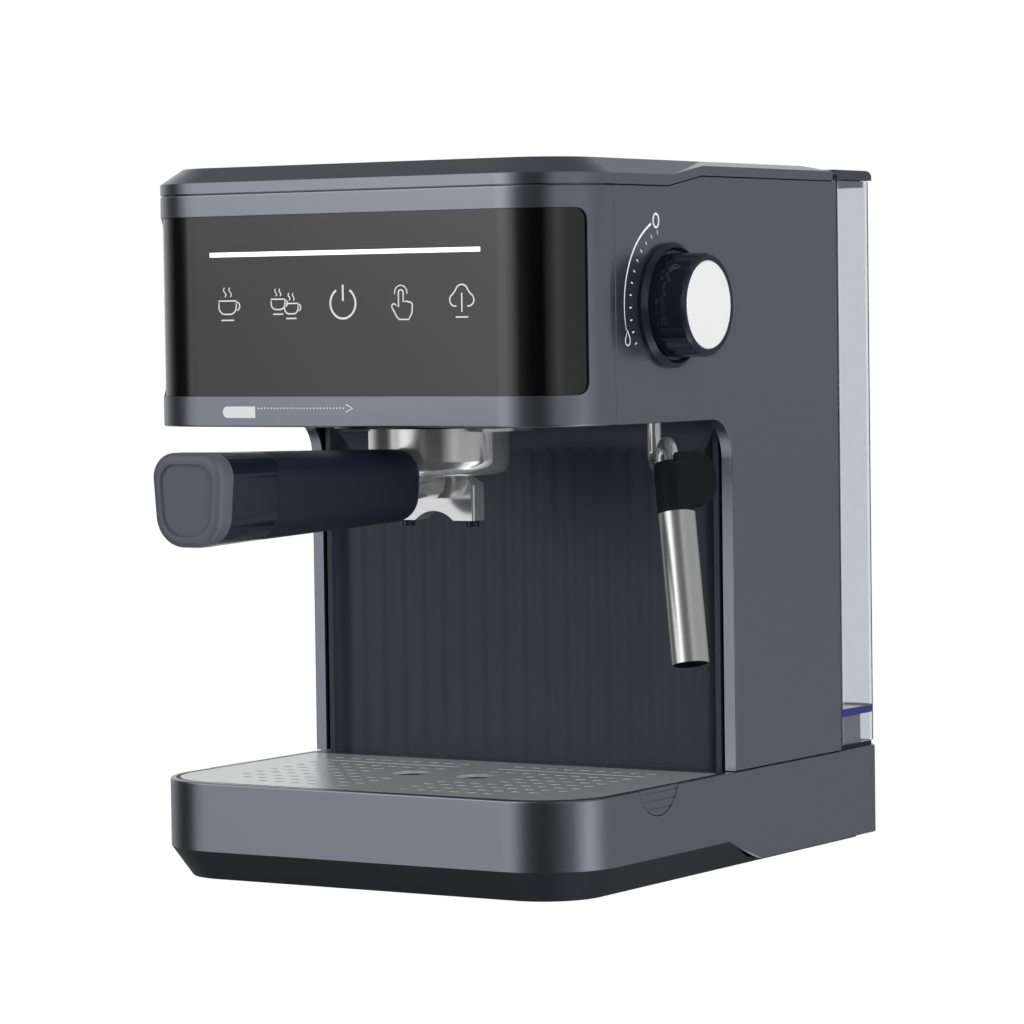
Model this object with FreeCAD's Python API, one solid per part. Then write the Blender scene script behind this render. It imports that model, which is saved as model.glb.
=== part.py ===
import FreeCAD, Part
import math
import os

# Overall body, in millimetres
body_width = 210.0
body_depth = 258.0
front_corner_radius = 32.5
rear_corner_radius = 11.0
edge_radius = 0.8
seam_gap = 0.4

# Heights, stacked from the floor up
foot_height = 3.0
base_height = 40.4
opening_height = 145.0
head_height = 94.3
cover_step = 4.4
cover_lip = 4.3
cover_chamfer_height = 6.3

# Depths, measured from the front face
bezel_depth = 35.5
opening_depth = 127.5
tank_zone_depth = 38.8

# Base shell and bottom pan
base_wall = 2.4
deck_thickness = 3.0
skirt_height = 12.4
skirt_inset = 8.7
runout_start = 121.0
runout_length = 27.0
rear_edge_height = 2.7
pan_floor = 2.5
pan_fit = 0.3
tray_setback = 6.0
screw_boss_radius = 4.5
screw_inset = 18.0
screw_shank_radius = 1.6
screw_head_radius = 3.2
screw_head_height = 2.0
screw_length = 16.0
screw_fit = 0.1

# Rubber feet
foot_radius = 9.0
foot_side_inset = 43.0
foot_front_inset = 62.0
foot_rear_inset = 30.0
foot_rim = 3.0
foot_recess = 1.2

# Drip tray and grid
tray_gap = 0.4
tray_edge = 1.0
tray_wall = 1.8
tray_flange = 1.6
tray_body_inset = 11.0
tray_depth = 26.0
tray_rest_gap = 0.3
rest_rib_thickness = 3.0
rest_rib_inset = 28.0
tab_center = 64.5
tab_half_width = 15.0
tab_depth = 11.0
tab_gap = 0.35
tab_recess = 0.1
tab_groove = 0.5
tab_groove_pitch = 3.2
tab_groove_count = 3
grid_thickness = 1.2
grid_gap = 0.3
grid_seat = 0.2
slot_length = 5.2
slot_width = 2.6
slot_pitch = 8.0
slot_row_pitch = 9.8
slot_margin = 23.6
slot_middle_gap = 9.0
slot_front_margin = 17.4
slot_row_count = 10
slot_corner_share = 1.5
long_slot_row = 8
finger_hole_radius = 8.0
finger_hole_offset = 15.7

# Side panels and splash panel
panel_skin = 2.2
panel_rim = 2.2
panel_return = 5.3
opening_corner_radius = 16.0
step_start = 77.6
step_length = 27.2
splash_gap = 1.9
splash_recess = 5.5
splash_lip_setback = 0.3
splash_wall = 2.4
splash_corner_radius = 9.0
flute_count = 17
flute_depth = 0.4
cove_radius = 18.0

# Head bezel, touch panel and lamp
bezel_wall = 3.0
window_bottom = 12.3
window_height = 72.7
window_wrap = 67.0
window_corner_radius = 5.0
touch_gap = 0.15
touch_recess = 1.0
touch_thickness = 2.2
lamp_half_length = 65.0
lamp_height = 1.8
lamp_level = 69.4
lamp_fit = 0.05
key_pitch = 28.1
key_count = 5
key_level = 49.2
key_pad_radius = 4.0
key_spring_radius = 2.2
key_spring_length = 4.8
board_half_width = 74.0
board_height = 56.0
board_thickness = 1.6
chip_size = 9.0
chip_height = 1.8

# Top cover
cover_wall = 2.5
cover_chamfer_inset = 9.5
cover_rear_gap = 1.4
cover_rear_radius = 2.0
cover_ramp_lead = 3.2
tongue_depth = 2.5
tongue_wall = 1.5
tongue_gap = 0.3

# Head floor and rear panel
floor_recess = 3.0
floor_thickness = 2.5
floor_gap = 0.3
rear_panel_thickness = 2.2
rear_panel_setback = 0.4

# Brew group
group_setback = 68.6
collar_radius = 42.6
collar_gap = 0.4
collar_drop = 1.6
shelf_thickness = 2.6
shelf_radius = 31.0
lug_radius = 36.5
lug_half_angle = 18.0
lug_height = 3.2
lug_gap = 0.4
groove_gap = 0.7
gate_margin = 4.0
unlock_angle = 40.0
group_radius = 50.0
group_height = 18.5
gasket_inner_radius = 24.4
gasket_outer_radius = 30.4
gasket_height = 6.4
gasket_fit = 0.1
gasket_lift = 0.3
screen_radius = 23.6
screen_thickness = 1.2
screen_hole_radius = 1.0
screen_hole_rings = 3
screen_hole_step = 6.0
center_screw_head_radius = 4.0
center_screw_head_height = 1.8
center_screw_radius = 2.4
center_screw_length = 9.0
boss_drop = 3.9
boiler_radius = 42.5
boiler_height = 34.0
boiler_dome = 10.0
boiler_flange_height = 5.0
boiler_screw_count = 6
boiler_screw_circle = 46.5
boiler_screw_radius = 2.0
boiler_screw_head = 3.0
thermostat_radius = 8.0
thermostat_height = 7.0
thermostat_offset = 22.0

# Portafilter
bowl_radius = 29.0
bowl_wall = 2.4
bowl_depth = 26.4
bowl_floor = 2.0
bowl_corner_radius = 6.0
rim_rise = 5.0
ear_radius = 39.5
ear_half_angle = 30.0
ear_thickness = 1.3
ear_gap = 0.4
basket_wall = 0.8
basket_gap = 0.6
basket_depth = 24.0
basket_flange = 0.8
drain_radius = 3.2
neck_radius = 6.5
neck_drop = 3.0
neck_gap = 1.2
hex_flat = 15.0
hex_length = 3.6
yoke_half_width = 19.4
yoke_thickness = 9.0
yoke_drop = 18.6
yoke_end_height = 14.2
yoke_shoulder = 14.0
yoke_arch_half = 9.3
yoke_arch_rise = 3.9
yoke_edge_radius = 1.2
scoop_radius = 18.6
scoop_depth = 2.6
scoop_end_wall = 1.6
channel_level = 6.6
outlet_offset = 15.8
outlet_radius = 2.9
outlet_bore = 1.7
outlet_length = 2.6
handle_reach = 173.6
handle_root_gap = 0.4
handle_root_width = 28.0
handle_root_height = 29.0
handle_width = 32.0
handle_height = 34.0
handle_narrowing = 0.84
handle_edge_radius = 7.5
collar_length = 31.0
cap_length = 8.0
cap_width = 34.5
cap_height = 35.8
cap_edge_radius = 3.0
cap_face_inset = 4.2
cap_face_depth = 1.2
upper_corner_share = 0.27
lower_corner_share = 0.36
root_corner_share = 0.38
stud_radius = 4.0
stud_fit = 0.05
stud_length = 70.0

# Steam knob and valve
knob_setback = 77.5
knob_level = 46.6
knob_radius = 20.6
knob_proud = 18.2
knob_edge = 1.2
knob_standoff = 1.0
knob_flute_count = 22
knob_flute_radius = 14.0
knob_flute_depth = 0.3
insert_radius = 17.6
insert_depth = 2.0
insert_fit = 0.1
dial_ring_radius = 25.1
dial_ring_height = 3.8
dial_ring_bevel = 2.0
dial_ring_gap = 0.6
dial_ring_sink = 1.6
spindle_radius = 3.0
spindle_fit = 0.05
spindle_depth = 10.0
spindle_reach = 24.0
valve_radius = 9.0
valve_length = 36.0
valve_neck_radius = 6.0
valve_nut_flat = 16.0
valve_branch_radius = 4.0
valve_branch_length = 9.0

# Steam wand
wand_pivot_inset = 21.0
wand_pivot_setback = 100.0
wand_heading = 43.0
wand_lean = 15.6
wand_pipe_radius = 2.9
wand_pipe_bore = 1.6
wand_drop = 12.5
wand_bend_radius = 6.0
wand_hook_turn = 168.0
wand_head_length = 9.0
wand_grip_start = 3.2
wand_grip_radius = 7.5
wand_grip_length = 20.9
wand_grip_edge = 1.0
wand_tab_reach = 16.0
wand_tab_height = 22.0
wand_tab_thickness = 4.2
wand_tab_forward = 4.2
wand_tab_round = 0.8
wand_tab_drop = 2.4
sleeve_radius = 7.5
sleeve_wall = 0.7
sleeve_length = 61.4
nozzle_radius = 3.9
nozzle_length = 50.0
nozzle_collar = 4.0
wand_fit = 0.05
bush_radius = 6.5
bush_flange_radius = 9.0
bush_flange_height = 2.0
bush_height = 9.0

# Water tank, lid and pedestal
tank_side_gap = 2.0
tank_front_gap = 2.0
tank_rear_gap = 1.4
tank_wall = 2.2
tank_corner_radius = 4.0
tank_rear_radius = 6.0
tank_lift_gap = 2.0
tank_floor_rise = 14.0
tank_floor = 2.4
tank_rim_drop = -0.1
band_height = 3.0
band_depth = 0.6
band_fit = 0.1
pedestal_gap = 0.3
pedestal_inset = 6.0
pedestal_clearance = 1.0
shelf_plate_inset = 0.8
shelf_plate_gap = 0.3
socket_radius = 10.0
socket_depth = 9.0
tank_valve_offset = 40.0
tank_valve_radius = 7.0
tank_valve_bore = 3.0
tank_valve_drop = 7.0
tank_valve_flange = 10.0
tank_valve_flange_height = 2.0
seal_ring_radius = 1.2
strainer_radius = 9.0
strainer_height = 12.0
strainer_wall = 1.2
lid_gap = 0.5
lid_thickness = 4.3
lid_overhang = 1.6
lid_edge_radius = 2.8
lid_lip_depth = 3.0
lid_lip_gap = 1.0
lid_lip_wall = 1.6
hinge_offset = 78.0
hinge_inset = 2.1
hinge_ear_length = 6.0
hinge_ear_gap = 0.5
hinge_ear_radius = 2.0
hinge_rise = 2.0
hinge_pin_radius = 1.1
hinge_pin_fit = 0.05
hinge_knuckle_length = 6.0

# Pump, hoses, bracket and inlet
pump_side = 45.0
pump_lift = 34.0
pump_radius = 17.5
pump_length = 92.0
pump_nozzle_radius = 4.5
pump_nozzle_length = 9.0
pump_coil_width = 46.0
pump_coil_height = 34.0
mount_radius = 23.0
mount_height = 8.0
mount_fit = 0.1
mount_lip = 2.0
bracket_thickness = 2.0
bracket_width = 64.0
bracket_gap = 2.0
hose_radius = 4.0
hose_bore = 2.4
hose_bend = 9.0
hose_level = 19.0
pressure_hose_radius = 2.5
pressure_bore = 1.3
pressure_hose_bend = 9.0
pipe_rise = 12.0
inlet_side = 20.0
gland_inset = 35.0
gland_level = 20.0
gland_radius = 7.0
gland_flange_radius = 10.0
gland_flange_height = 2.5
gland_bore = 3.6
gland_inner_length = 8.0
gland_fit = 0.1

# Places worked out from the sizes above
half_width = body_width / 2
pan_level = foot_height
skirt_top = pan_level + skirt_height
rear_edge_level = pan_level + rear_edge_height
rim_level = pan_level + base_height
deck_under = rim_level - deck_thickness
head_bottom = rim_level + opening_height
cover_line = head_bottom + head_height
raised_line = cover_line + cover_step
lip_top = cover_line + cover_lip
raised_lip_top = raised_line + cover_lip - seam_gap
cover_top = lip_top + cover_chamfer_height
column_back = body_depth - tank_zone_depth
well_back = opening_depth - tray_setback
step_end = step_start + step_length
inner_side = half_width - panel_return
skin_inside = half_width - panel_skin
floor_under = head_bottom + floor_recess
floor_top = floor_under + floor_thickness
tray_rim_inset = base_wall + tray_gap
tray_bottom = rim_level - tray_depth
tray_seat = rim_level - grid_seat - grid_thickness
pan_floor_top = pan_level + pan_floor
rear_floor_top = rear_edge_level + pan_floor
knob_height = head_bottom + knob_level
bowl_bottom = head_bottom + rim_rise - bowl_depth
bowl_top = head_bottom + rim_rise
neck_level = bowl_bottom - neck_drop
handle_root = group_setback - bowl_radius - handle_root_gap
handle_tip = group_setback - handle_reach
cap_back = handle_tip + cap_length
collar_back = cap_back + collar_length
splash_back = opening_depth + splash_recess + splash_wall
rib_front = column_back - rear_panel_setback - rear_panel_thickness - panel_return
pump_setback = (splash_back + rib_front) / 2
bracket_half_depth = (rib_front - splash_back) / 2 - bracket_gap
pump_bottom = rim_level + pump_lift
gland_side = half_width - gland_inset
wand_pivot_side = half_width - wand_pivot_inset
tank_bottom = rim_level + tank_lift_gap
tank_floor_under = rim_level + tank_floor_rise + pedestal_gap
tank_floor_top = tank_floor_under + tank_floor
tank_front = column_back + tank_front_gap
tank_back = body_depth - tank_rear_gap
tank_half = half_width - tank_side_gap
tank_top = raised_line - tank_rim_drop
lid_under = tank_top + lid_gap
lid_top = lid_under + lid_thickness
hinge_level = lid_under + hinge_rise
hinge_place = tank_front + hinge_inset
valve_place = (tank_front + tank_back) / 2
over = 5.0
tiny = 1e-6
up = FreeCAD.Vector(0, 0, 1)
rearward = FreeCAD.Vector(0, 1, 0)
rightward = FreeCAD.Vector(1, 0, 0)


# Drawing helpers


def point(x, y, z):
    return FreeCAD.Vector(x, y, z)


def unit(u, v):
    length = math.hypot(u, v)
    return u / length, v / length


def corner_span(before, corner, after):
    """Start, middle and end of the arc that rounds one corner."""
    u, v, radius = corner
    back = unit(before[0] - u, before[1] - v)
    ahead = unit(after[0] - u, after[1] - v)
    half_open = math.acos(back[0] * ahead[0] + back[1] * ahead[1]) / 2
    reach = radius / math.tan(half_open)
    start = (u + back[0] * reach, v + back[1] * reach)
    finish = (u + ahead[0] * reach, v + ahead[1] * reach)
    if radius < tiny:
        return start, None, finish
    inward = unit(back[0] + ahead[0], back[1] + ahead[1])
    depth = radius / math.sin(half_open) - radius
    middle = (u + inward[0] * depth, v + inward[1] * depth)
    return start, middle, finish


def rounded_wire(corners, place):
    """Closed wire through corners given as (u, v, radius), put in space by place(u, v)."""
    count = len(corners)
    spans = []
    for index in range(count):
        spans.append(corner_span(corners[index - 1], corners[index], corners[(index + 1) % count]))
    edges = []
    for index in range(count):
        start, middle, finish = spans[index]
        following = spans[(index + 1) % count][0]
        if middle is not None:
            edges.append(Part.Arc(place(*start), place(*middle), place(*finish)).toShape())
        if math.hypot(following[0] - finish[0], following[1] - finish[1]) > tiny:
            edges.append(Part.LineSegment(place(*finish), place(*following)).toShape())
    return Part.Wire(edges)


def plan_block(corners, low, high):
    """Prism on a plan outline, between two levels."""
    wire = rounded_wire(corners, lambda u, v: point(u, v, low))
    return Part.Face(wire).extrude(up * (high - low))


def side_block(corners, left, right):
    """Prism on an outline of (depth, level), between two sideways places."""
    wire = rounded_wire(corners, lambda u, v: point(left, u, v))
    return Part.Face(wire).extrude(rightward * (right - left))


def front_block(corners, front, back):
    """Prism on an outline of (side, level), between two depths."""
    wire = rounded_wire(corners, lambda u, v: point(u, front, v))
    return Part.Face(wire).extrude(rearward * (back - front))


def box(left, right, front, back, low, high):
    return Part.makeBox(right - left, back - front, high - low, point(left, front, low))


def rod(base, direction, radius, length):
    return Part.makeCylinder(radius, length, base, direction)


def turned(profile, side, setback):
    """Solid turned about an upright axis from points of (radius, level)."""
    points = [point(side + radius, setback, level) for radius, level in profile]
    face = Part.Face(Part.makePolygon(points + points[:1]))
    return face.revolve(point(side, setback, 0), up, 360)


def turned_sideways(profile, setback, level):
    """Solid turned about a sideways axis from points of (side, radius)."""
    points = [point(side, setback, level + radius) for side, radius in profile]
    face = Part.Face(Part.makePolygon(points + points[:1]))
    return face.revolve(point(0, setback, level), rightward, 360)


def ring(outer, inner, side, setback, low, high):
    return turned([(inner, low), (outer, low), (outer, high), (inner, high)], side, setback)


def sector(side, setback, radius, middle_angle, half_angle, low, high):
    """Upright pie slice about an axis, centred on an angle from the right hand side."""
    slice_block = Part.makeCylinder(radius, high - low, point(side, setback, low), up, 2 * half_angle)
    slice_block.rotate(point(side, setback, low), up, middle_angle - half_angle)
    return slice_block


def hexagon(across_flats, center, direction, length):
    """Six-sided prism along an axis."""
    corner_radius = across_flats / math.sqrt(3)
    points = []
    for index in range(6):
        angle = math.radians(60 * index)
        points.append(point(corner_radius * math.cos(angle), corner_radius * math.sin(angle), 0))
    block = Part.Face(Part.makePolygon(points + points[:1])).extrude(up * length)
    block.Placement = FreeCAD.Placement(center, FreeCAD.Rotation(up, direction))
    return block


def bent_path(points, bend):
    """Wire of straight runs with a tangent arc at each inner point."""
    edges = []
    start = points[0]
    for index in range(1, len(points) - 1):
        corner = points[index]
        back = (points[index - 1] - corner).normalize()
        ahead = (points[index + 1] - corner).normalize()
        half_open = back.getAngle(ahead) / 2
        reach = bend / math.tan(half_open)
        middle = corner + (back + ahead).normalize() * (bend / math.sin(half_open) - bend)
        edges.append(Part.LineSegment(start, corner + back * reach).toShape())
        edges.append(Part.Arc(corner + back * reach, middle, corner + ahead * reach).toShape())
        start = corner + ahead * reach
    edges.append(Part.LineSegment(start, points[-1]).toShape())
    return Part.Wire(edges)


def tube(path, radius, bore):
    """Hollow tube along a path."""
    first = path.OrderedEdges[0]
    start = first.valueAt(first.FirstParameter)
    direction = first.tangentAt(first.FirstParameter)
    skins = []
    for size in (radius, bore):
        section = Part.Wire(Part.Circle(start, direction, size).toShape())
        skins.append(path.makePipeShell([section], True, False))
    return skins[0].cut(skins[1])


def fused(solids):
    whole = solids[0]
    for solid in solids[1:]:
        whole = whole.fuse(solid)
    return whole.removeSplitter()


def edges_at(shape, test):
    """Edges of a shape whose middle passes a test."""
    return [edge for edge in shape.Edges if test(edge.CenterOfMass)]


# Shared outlines


def plan_corners(inset, depth=body_depth, rear_radius=rear_corner_radius):
    """Corners of the body's plan, drawn in by an inset."""
    side = half_width - inset
    front_radius = front_corner_radius - inset
    back_radius = max(rear_radius - inset, edge_radius)
    return [
        (-side, inset, front_radius),
        (side, inset, front_radius),
        (side, depth - inset, back_radius),
        (-side, depth - inset, back_radius),
    ]


def body_block(inset, low, high):
    return plan_block(plan_corners(inset), low, high)


def plan_loft(low_corners, low, high_corners, high):
    """Ruled solid between two plan outlines."""
    wires = [
        rounded_wire(low_corners, lambda u, v: point(u, v, low)),
        rounded_wire(high_corners, lambda u, v: point(u, v, high)),
    ]
    return Part.makeLoft(wires, True, True)


def under_zone():
    """Space below the shell's lower edge, which runs out to the rear."""
    runout_end = runout_start + runout_length
    corners = [
        (-over, -over, 0),
        (body_depth + over, -over, 0),
        (body_depth + over, rear_edge_level, 0),
        (runout_end, rear_edge_level, 0),
        (runout_start, skirt_top, 0),
        (-over, skirt_top, 0),
    ]
    return side_block(corners, -body_width, body_width)


def tab_outline(grow):
    """Half oval of the finger tab, in (depth, level), open at the rim."""
    left = tab_center - tab_half_width - grow
    right = tab_center + tab_half_width + grow
    low = rim_level - tab_depth - grow
    return left, right, low


def tab_block(grow, left, right):
    """Prism of the finger tab between two sideways places."""
    front, back, low = tab_outline(grow)
    top = rim_level + (over if grow > 0 else 0)
    arc = Part.Arc(point(left, front, rim_level), point(left, tab_center, low), point(left, back, rim_level))
    edges = [arc.toShape()]
    if top > rim_level:
        edges.append(Part.LineSegment(point(left, back, rim_level), point(left, back, top)).toShape())
        edges.append(Part.LineSegment(point(left, back, top), point(left, front, top)).toShape())
        edges.append(Part.LineSegment(point(left, front, top), point(left, front, rim_level)).toShape())
    else:
        edges.append(Part.LineSegment(point(left, back, rim_level), point(left, front, rim_level)).toShape())
    return Part.Face(Part.Wire(edges)).extrude(rightward * (right - left))


def screw_places():
    """Plan places of the screws that hold the pan to the shell."""
    side = half_width - screw_inset
    front = runout_start + runout_length
    back = body_depth - screw_inset
    return [(-side, front), (side, front), (-side, back), (side, back)]


# Base


def base_shell():
    outer = body_block(0, pan_level, rim_level)
    outer = outer.makeFillet(edge_radius, edges_at(outer, lambda c: c.z > rim_level - tiny))
    shell = outer.cut(under_zone())
    shell = shell.cut(body_block(base_wall, -over, deck_under))
    front_half = box(-body_width, body_width, -over, well_back, -over, rim_level + over)
    shell = shell.cut(body_block(base_wall, deck_under - over, rim_level + over).common(front_half))
    inner_half = half_width - base_wall
    rear_wall = box(-inner_half, inner_half, well_back, well_back + base_wall, skirt_top, deck_under)
    parts = [shell, rear_wall]
    for side, setback in screw_places():
        parts.append(rod(point(side, setback, rear_floor_top), up, screw_boss_radius, deck_under - rear_floor_top))
    shell = fused(parts)
    for side, setback in screw_places():
        shell = shell.cut(rod(point(side, setback, 0), up, screw_shank_radius + screw_fit, rear_floor_top + screw_length))
    shell = shell.cut(tab_block(tab_gap, inner_half - over, half_width + over))
    shell = shell.cut(tab_block(tab_gap, -half_width - over, -inner_half + over))
    hole = hose_radius + band_fit
    shell = shell.cut(rod(point(tank_valve_offset, valve_place, deck_under - over), up, hole, deck_thickness + 2 * over))
    shell = shell.cut(rod(point(-pump_side, pump_setback, deck_under - over), up, hole, deck_thickness + 2 * over))
    gland_start = point(-gland_side, body_depth - over, gland_level)
    return shell.cut(rod(gland_start, rearward, gland_radius + gland_fit, 2 * over))


def base_pan():
    taper = plan_loft(plan_corners(skirt_inset), pan_level, plan_corners(0), skirt_top)
    pan = taper.common(under_zone())
    wall_run = base_wall
    hollow = plan_loft(
        plan_corners(skirt_inset + wall_run), pan_floor_top, plan_corners(wall_run), skirt_top + over)
    front_half = box(-body_width, body_width, -over, runout_start, -over, rim_level)
    pan = pan.cut(hollow.common(front_half))
    rear_half = box(-body_width, body_width, runout_start + runout_length, body_depth, -over, rim_level)
    locating_rim = body_block(base_wall + pan_fit, pan_floor_top, rear_floor_top)
    locating_rim = locating_rim.cut(body_block(2 * base_wall + pan_fit, -over, rim_level))
    parts = [pan, locating_rim.common(rear_half)]
    for side, setback in screw_places():
        parts.append(rod(point(side, setback, pan_floor_top - pan_fit), up, screw_boss_radius,
                         rear_floor_top - pan_floor_top + pan_fit))
    rib_half = half_width - tray_body_inset - rest_rib_inset
    for setback in (rest_rib_inset, well_back - rest_rib_inset):
        parts.append(box(-rib_half, rib_half, setback, setback + rest_rib_thickness,
                         pan_floor_top, tray_bottom - tray_rest_gap))
    pan = fused(parts)
    for side, setback in screw_places():
        pan = pan.cut(rod(point(side, setback, 0), up, screw_shank_radius + screw_fit, rim_level))
        pan = pan.cut(rod(point(side, setback, 0), up, screw_head_radius + screw_fit, pan_floor_top))
    return pan


def rubber_feet():
    """Four turned feet with a ring-shaped tread."""
    profile = [
        (0, foot_recess),
        (foot_radius - foot_rim, foot_recess),
        (foot_radius - foot_rim, 0),
        (foot_radius - edge_radius, 0),
        (foot_radius, foot_height),
        (0, foot_height),
    ]
    side = half_width - foot_side_inset
    feet = []
    for setback in (foot_front_inset, body_depth - foot_rear_inset):
        feet.append(turned(profile, -side, setback))
        feet.append(turned(profile, side, setback))
    return Part.makeCompound(feet)


def pan_screws():
    screws = []
    for side, setback in screw_places():
        head_top = pan_floor_top
        head = rod(point(side, setback, head_top - screw_head_height), up, screw_head_radius, screw_head_height)
        shank = rod(point(side, setback, head_top), up, screw_shank_radius, screw_length)
        screws.append(head.fuse(shank).removeSplitter())
    return Part.makeCompound(screws)


def cord_gland():
    """Bush in the rear wall for the supply lead."""
    gland = rod(point(-gland_side, body_depth - base_wall - gland_inner_length, gland_level), rearward,
                gland_radius, base_wall + gland_inner_length)
    flange = rod(point(-gland_side, body_depth, gland_level), rearward, gland_flange_radius, gland_flange_height)
    flange = flange.makeChamfer(edge_radius, edges_at(flange, lambda c: c.y > body_depth + gland_flange_height - tiny))
    gland = gland.fuse(flange).removeSplitter()
    bore_start = point(-gland_side, body_depth - base_wall - gland_inner_length - over, gland_level)
    return gland.cut(rod(bore_start, rearward, gland_bore, base_wall + gland_inner_length + gland_flange_height + 2 * over))


# Drip tray and grid


def tray_corners(inset):
    """Plan of the tray well, drawn in by an inset from the body's outline."""
    side = half_width - inset
    back = well_back - inset + base_wall
    front_radius = front_corner_radius - inset
    return [
        (-side, inset, front_radius),
        (side, inset, front_radius),
        (side, back, base_wall),
        (-side, back, base_wall),
    ]


def drip_tray():
    flange_low = tray_seat - tray_flange
    tray = plan_block(tray_corners(tray_rim_inset), flange_low, rim_level)
    recess = plan_block(tray_corners(tray_rim_inset + tray_edge), tray_seat, rim_level + over)
    body = plan_block(tray_corners(tray_body_inset), tray_bottom, tray_seat)
    body = body.makeFillet(tray_wall, edges_at(body, lambda c: c.z < tray_bottom + tiny))
    tray = tray.cut(recess)
    tray = tray.fuse(body)
    tray = tray.cut(plan_block(tray_corners(tray_body_inset + tray_wall), tray_bottom + tray_wall, rim_level + over))
    tab_inside = half_width - tray_rim_inset - tray_edge
    tab_outside = half_width - tab_recess
    for side in (-1, 1):
        ends = sorted((side * tab_inside, side * tab_outside))
        tab = tab_block(0, ends[0], ends[1])
        for index in range(tab_groove_count):
            level = rim_level - tab_groove_pitch * (index + 0.5)
            face = side * tab_outside
            tab = tab.cut(box(face - tab_groove, face + tab_groove, tab_center - tab_half_width,
                              tab_center + tab_half_width, level - tab_groove / 2, level + tab_groove / 2))
        tray = tray.fuse(tab)
    return tray.removeSplitter()


def slot_block(center, setback, length):
    """Cutter of one drain slot with pointed ends."""
    half = length / 2
    wide = slot_width / 2
    corners = [
        (center - half, setback, 0),
        (center - half + wide, setback - wide, 0),
        (center + half - wide, setback - wide, 0),
        (center + half, setback, 0),
        (center + half - wide, setback + wide, 0),
        (center - half + wide, setback + wide, 0),
    ]
    return plan_block(corners, tray_seat - over, rim_level + over)


def slot_row(setback):
    """Slots of one row, kept clear of the finger holes and of the rounded front corners."""
    margin = slot_margin
    corner_rise = front_corner_radius - setback
    if corner_rise > 0:
        margin = slot_margin + slot_corner_share * corner_rise
    near_holes = abs(setback - group_setback) < finger_hole_radius + slot_row_pitch / 2
    start = slot_middle_gap
    if near_holes:
        start = finger_hole_offset + finger_hole_radius + slot_width
    span = half_width - margin - start
    count = int(span // slot_pitch)
    centers = []
    for index in range(count):
        centers.append(half_width - margin - slot_pitch * (index + 0.5))
    return centers


def drip_grid():
    """Pressed steel plate with rows of drain slots and two finger holes."""
    plate = plan_block(tray_corners(tray_rim_inset + tray_edge + grid_gap),
                       tray_seat + grid_seat, tray_seat + grid_seat + grid_thickness)
    cutters = []
    for row in range(slot_row_count):
        setback = slot_front_margin + slot_row_pitch * row
        if row == long_slot_row:
            length = half_width - slot_margin - slot_middle_gap
            center = slot_middle_gap + length / 2
            cutters.append(slot_block(center, setback, length))
            cutters.append(slot_block(-center, setback, length))
            continue
        for center in slot_row(setback):
            cutters.append(slot_block(center, setback, slot_length))
            cutters.append(slot_block(-center, setback, slot_length))
    for side in (-finger_hole_offset, finger_hole_offset):
        cutters.append(rod(point(side, group_setback, tray_seat - over), up, finger_hole_radius, 3 * over))
    return plate.cut(Part.makeCompound(cutters))


# Side panels, splash panel and rear panel


def panel_corners(inset):
    """Outline of a side panel in (depth, level), drawn in by an inset."""
    front = bezel_depth + seam_gap + inset
    back = column_back - inset
    bottom = rim_level + seam_gap + inset
    low_top = cover_line - seam_gap - inset
    high_top = raised_line - seam_gap - inset
    return [
        (front, head_bottom + inset, 0),
        (opening_depth + inset, head_bottom + inset, opening_corner_radius + inset),
        (opening_depth + inset, bottom, 0),
        (back, bottom, 0),
        (back, high_top, 0),
        (step_end, high_top, 0),
        (step_start, low_top, 0),
        (front, low_top, 0),
    ]


def side_panel(side):
    """Moulded panel with a return rim all round its C-shaped outline."""
    ends = sorted((side * inner_side, side * half_width))
    panel = side_block(panel_corners(0), ends[0], ends[1])
    face = side * half_width
    panel = panel.makeFillet(edge_radius / 2, edges_at(panel, lambda c: abs(c.x - face) < tiny))
    ends = sorted((side * (inner_side - over), side * skin_inside))
    return panel.cut(side_block(panel_corners(panel_rim), ends[0], ends[1]))


def left_side_panel():
    return side_panel(-1)


def right_side_panel():
    hole = rod(point(inner_side - over, knob_setback, knob_height), rightward, valve_neck_radius + seam_gap, 4 * over)
    return side_panel(1).cut(hole)


def flute_edges(level, half_span, face):
    """Wavy front edge of the splash panel, from right to left, as tangent arcs."""
    pitch = 2 * half_span / flute_count
    edges = []
    for index in range(flute_count):
        start = half_span - pitch * index
        quarter = pitch / 4
        crest = face - flute_depth / 2
        trough = face + flute_depth / 2
        edges.append(Part.Arc(point(start, face, level), point(start - quarter, crest, level),
                              point(start - 2 * quarter, face, level)).toShape())
        edges.append(Part.Arc(point(start - 2 * quarter, face, level), point(start - 3 * quarter, trough, level),
                              point(start - pitch, face, level)).toShape())
    return edges


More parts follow.
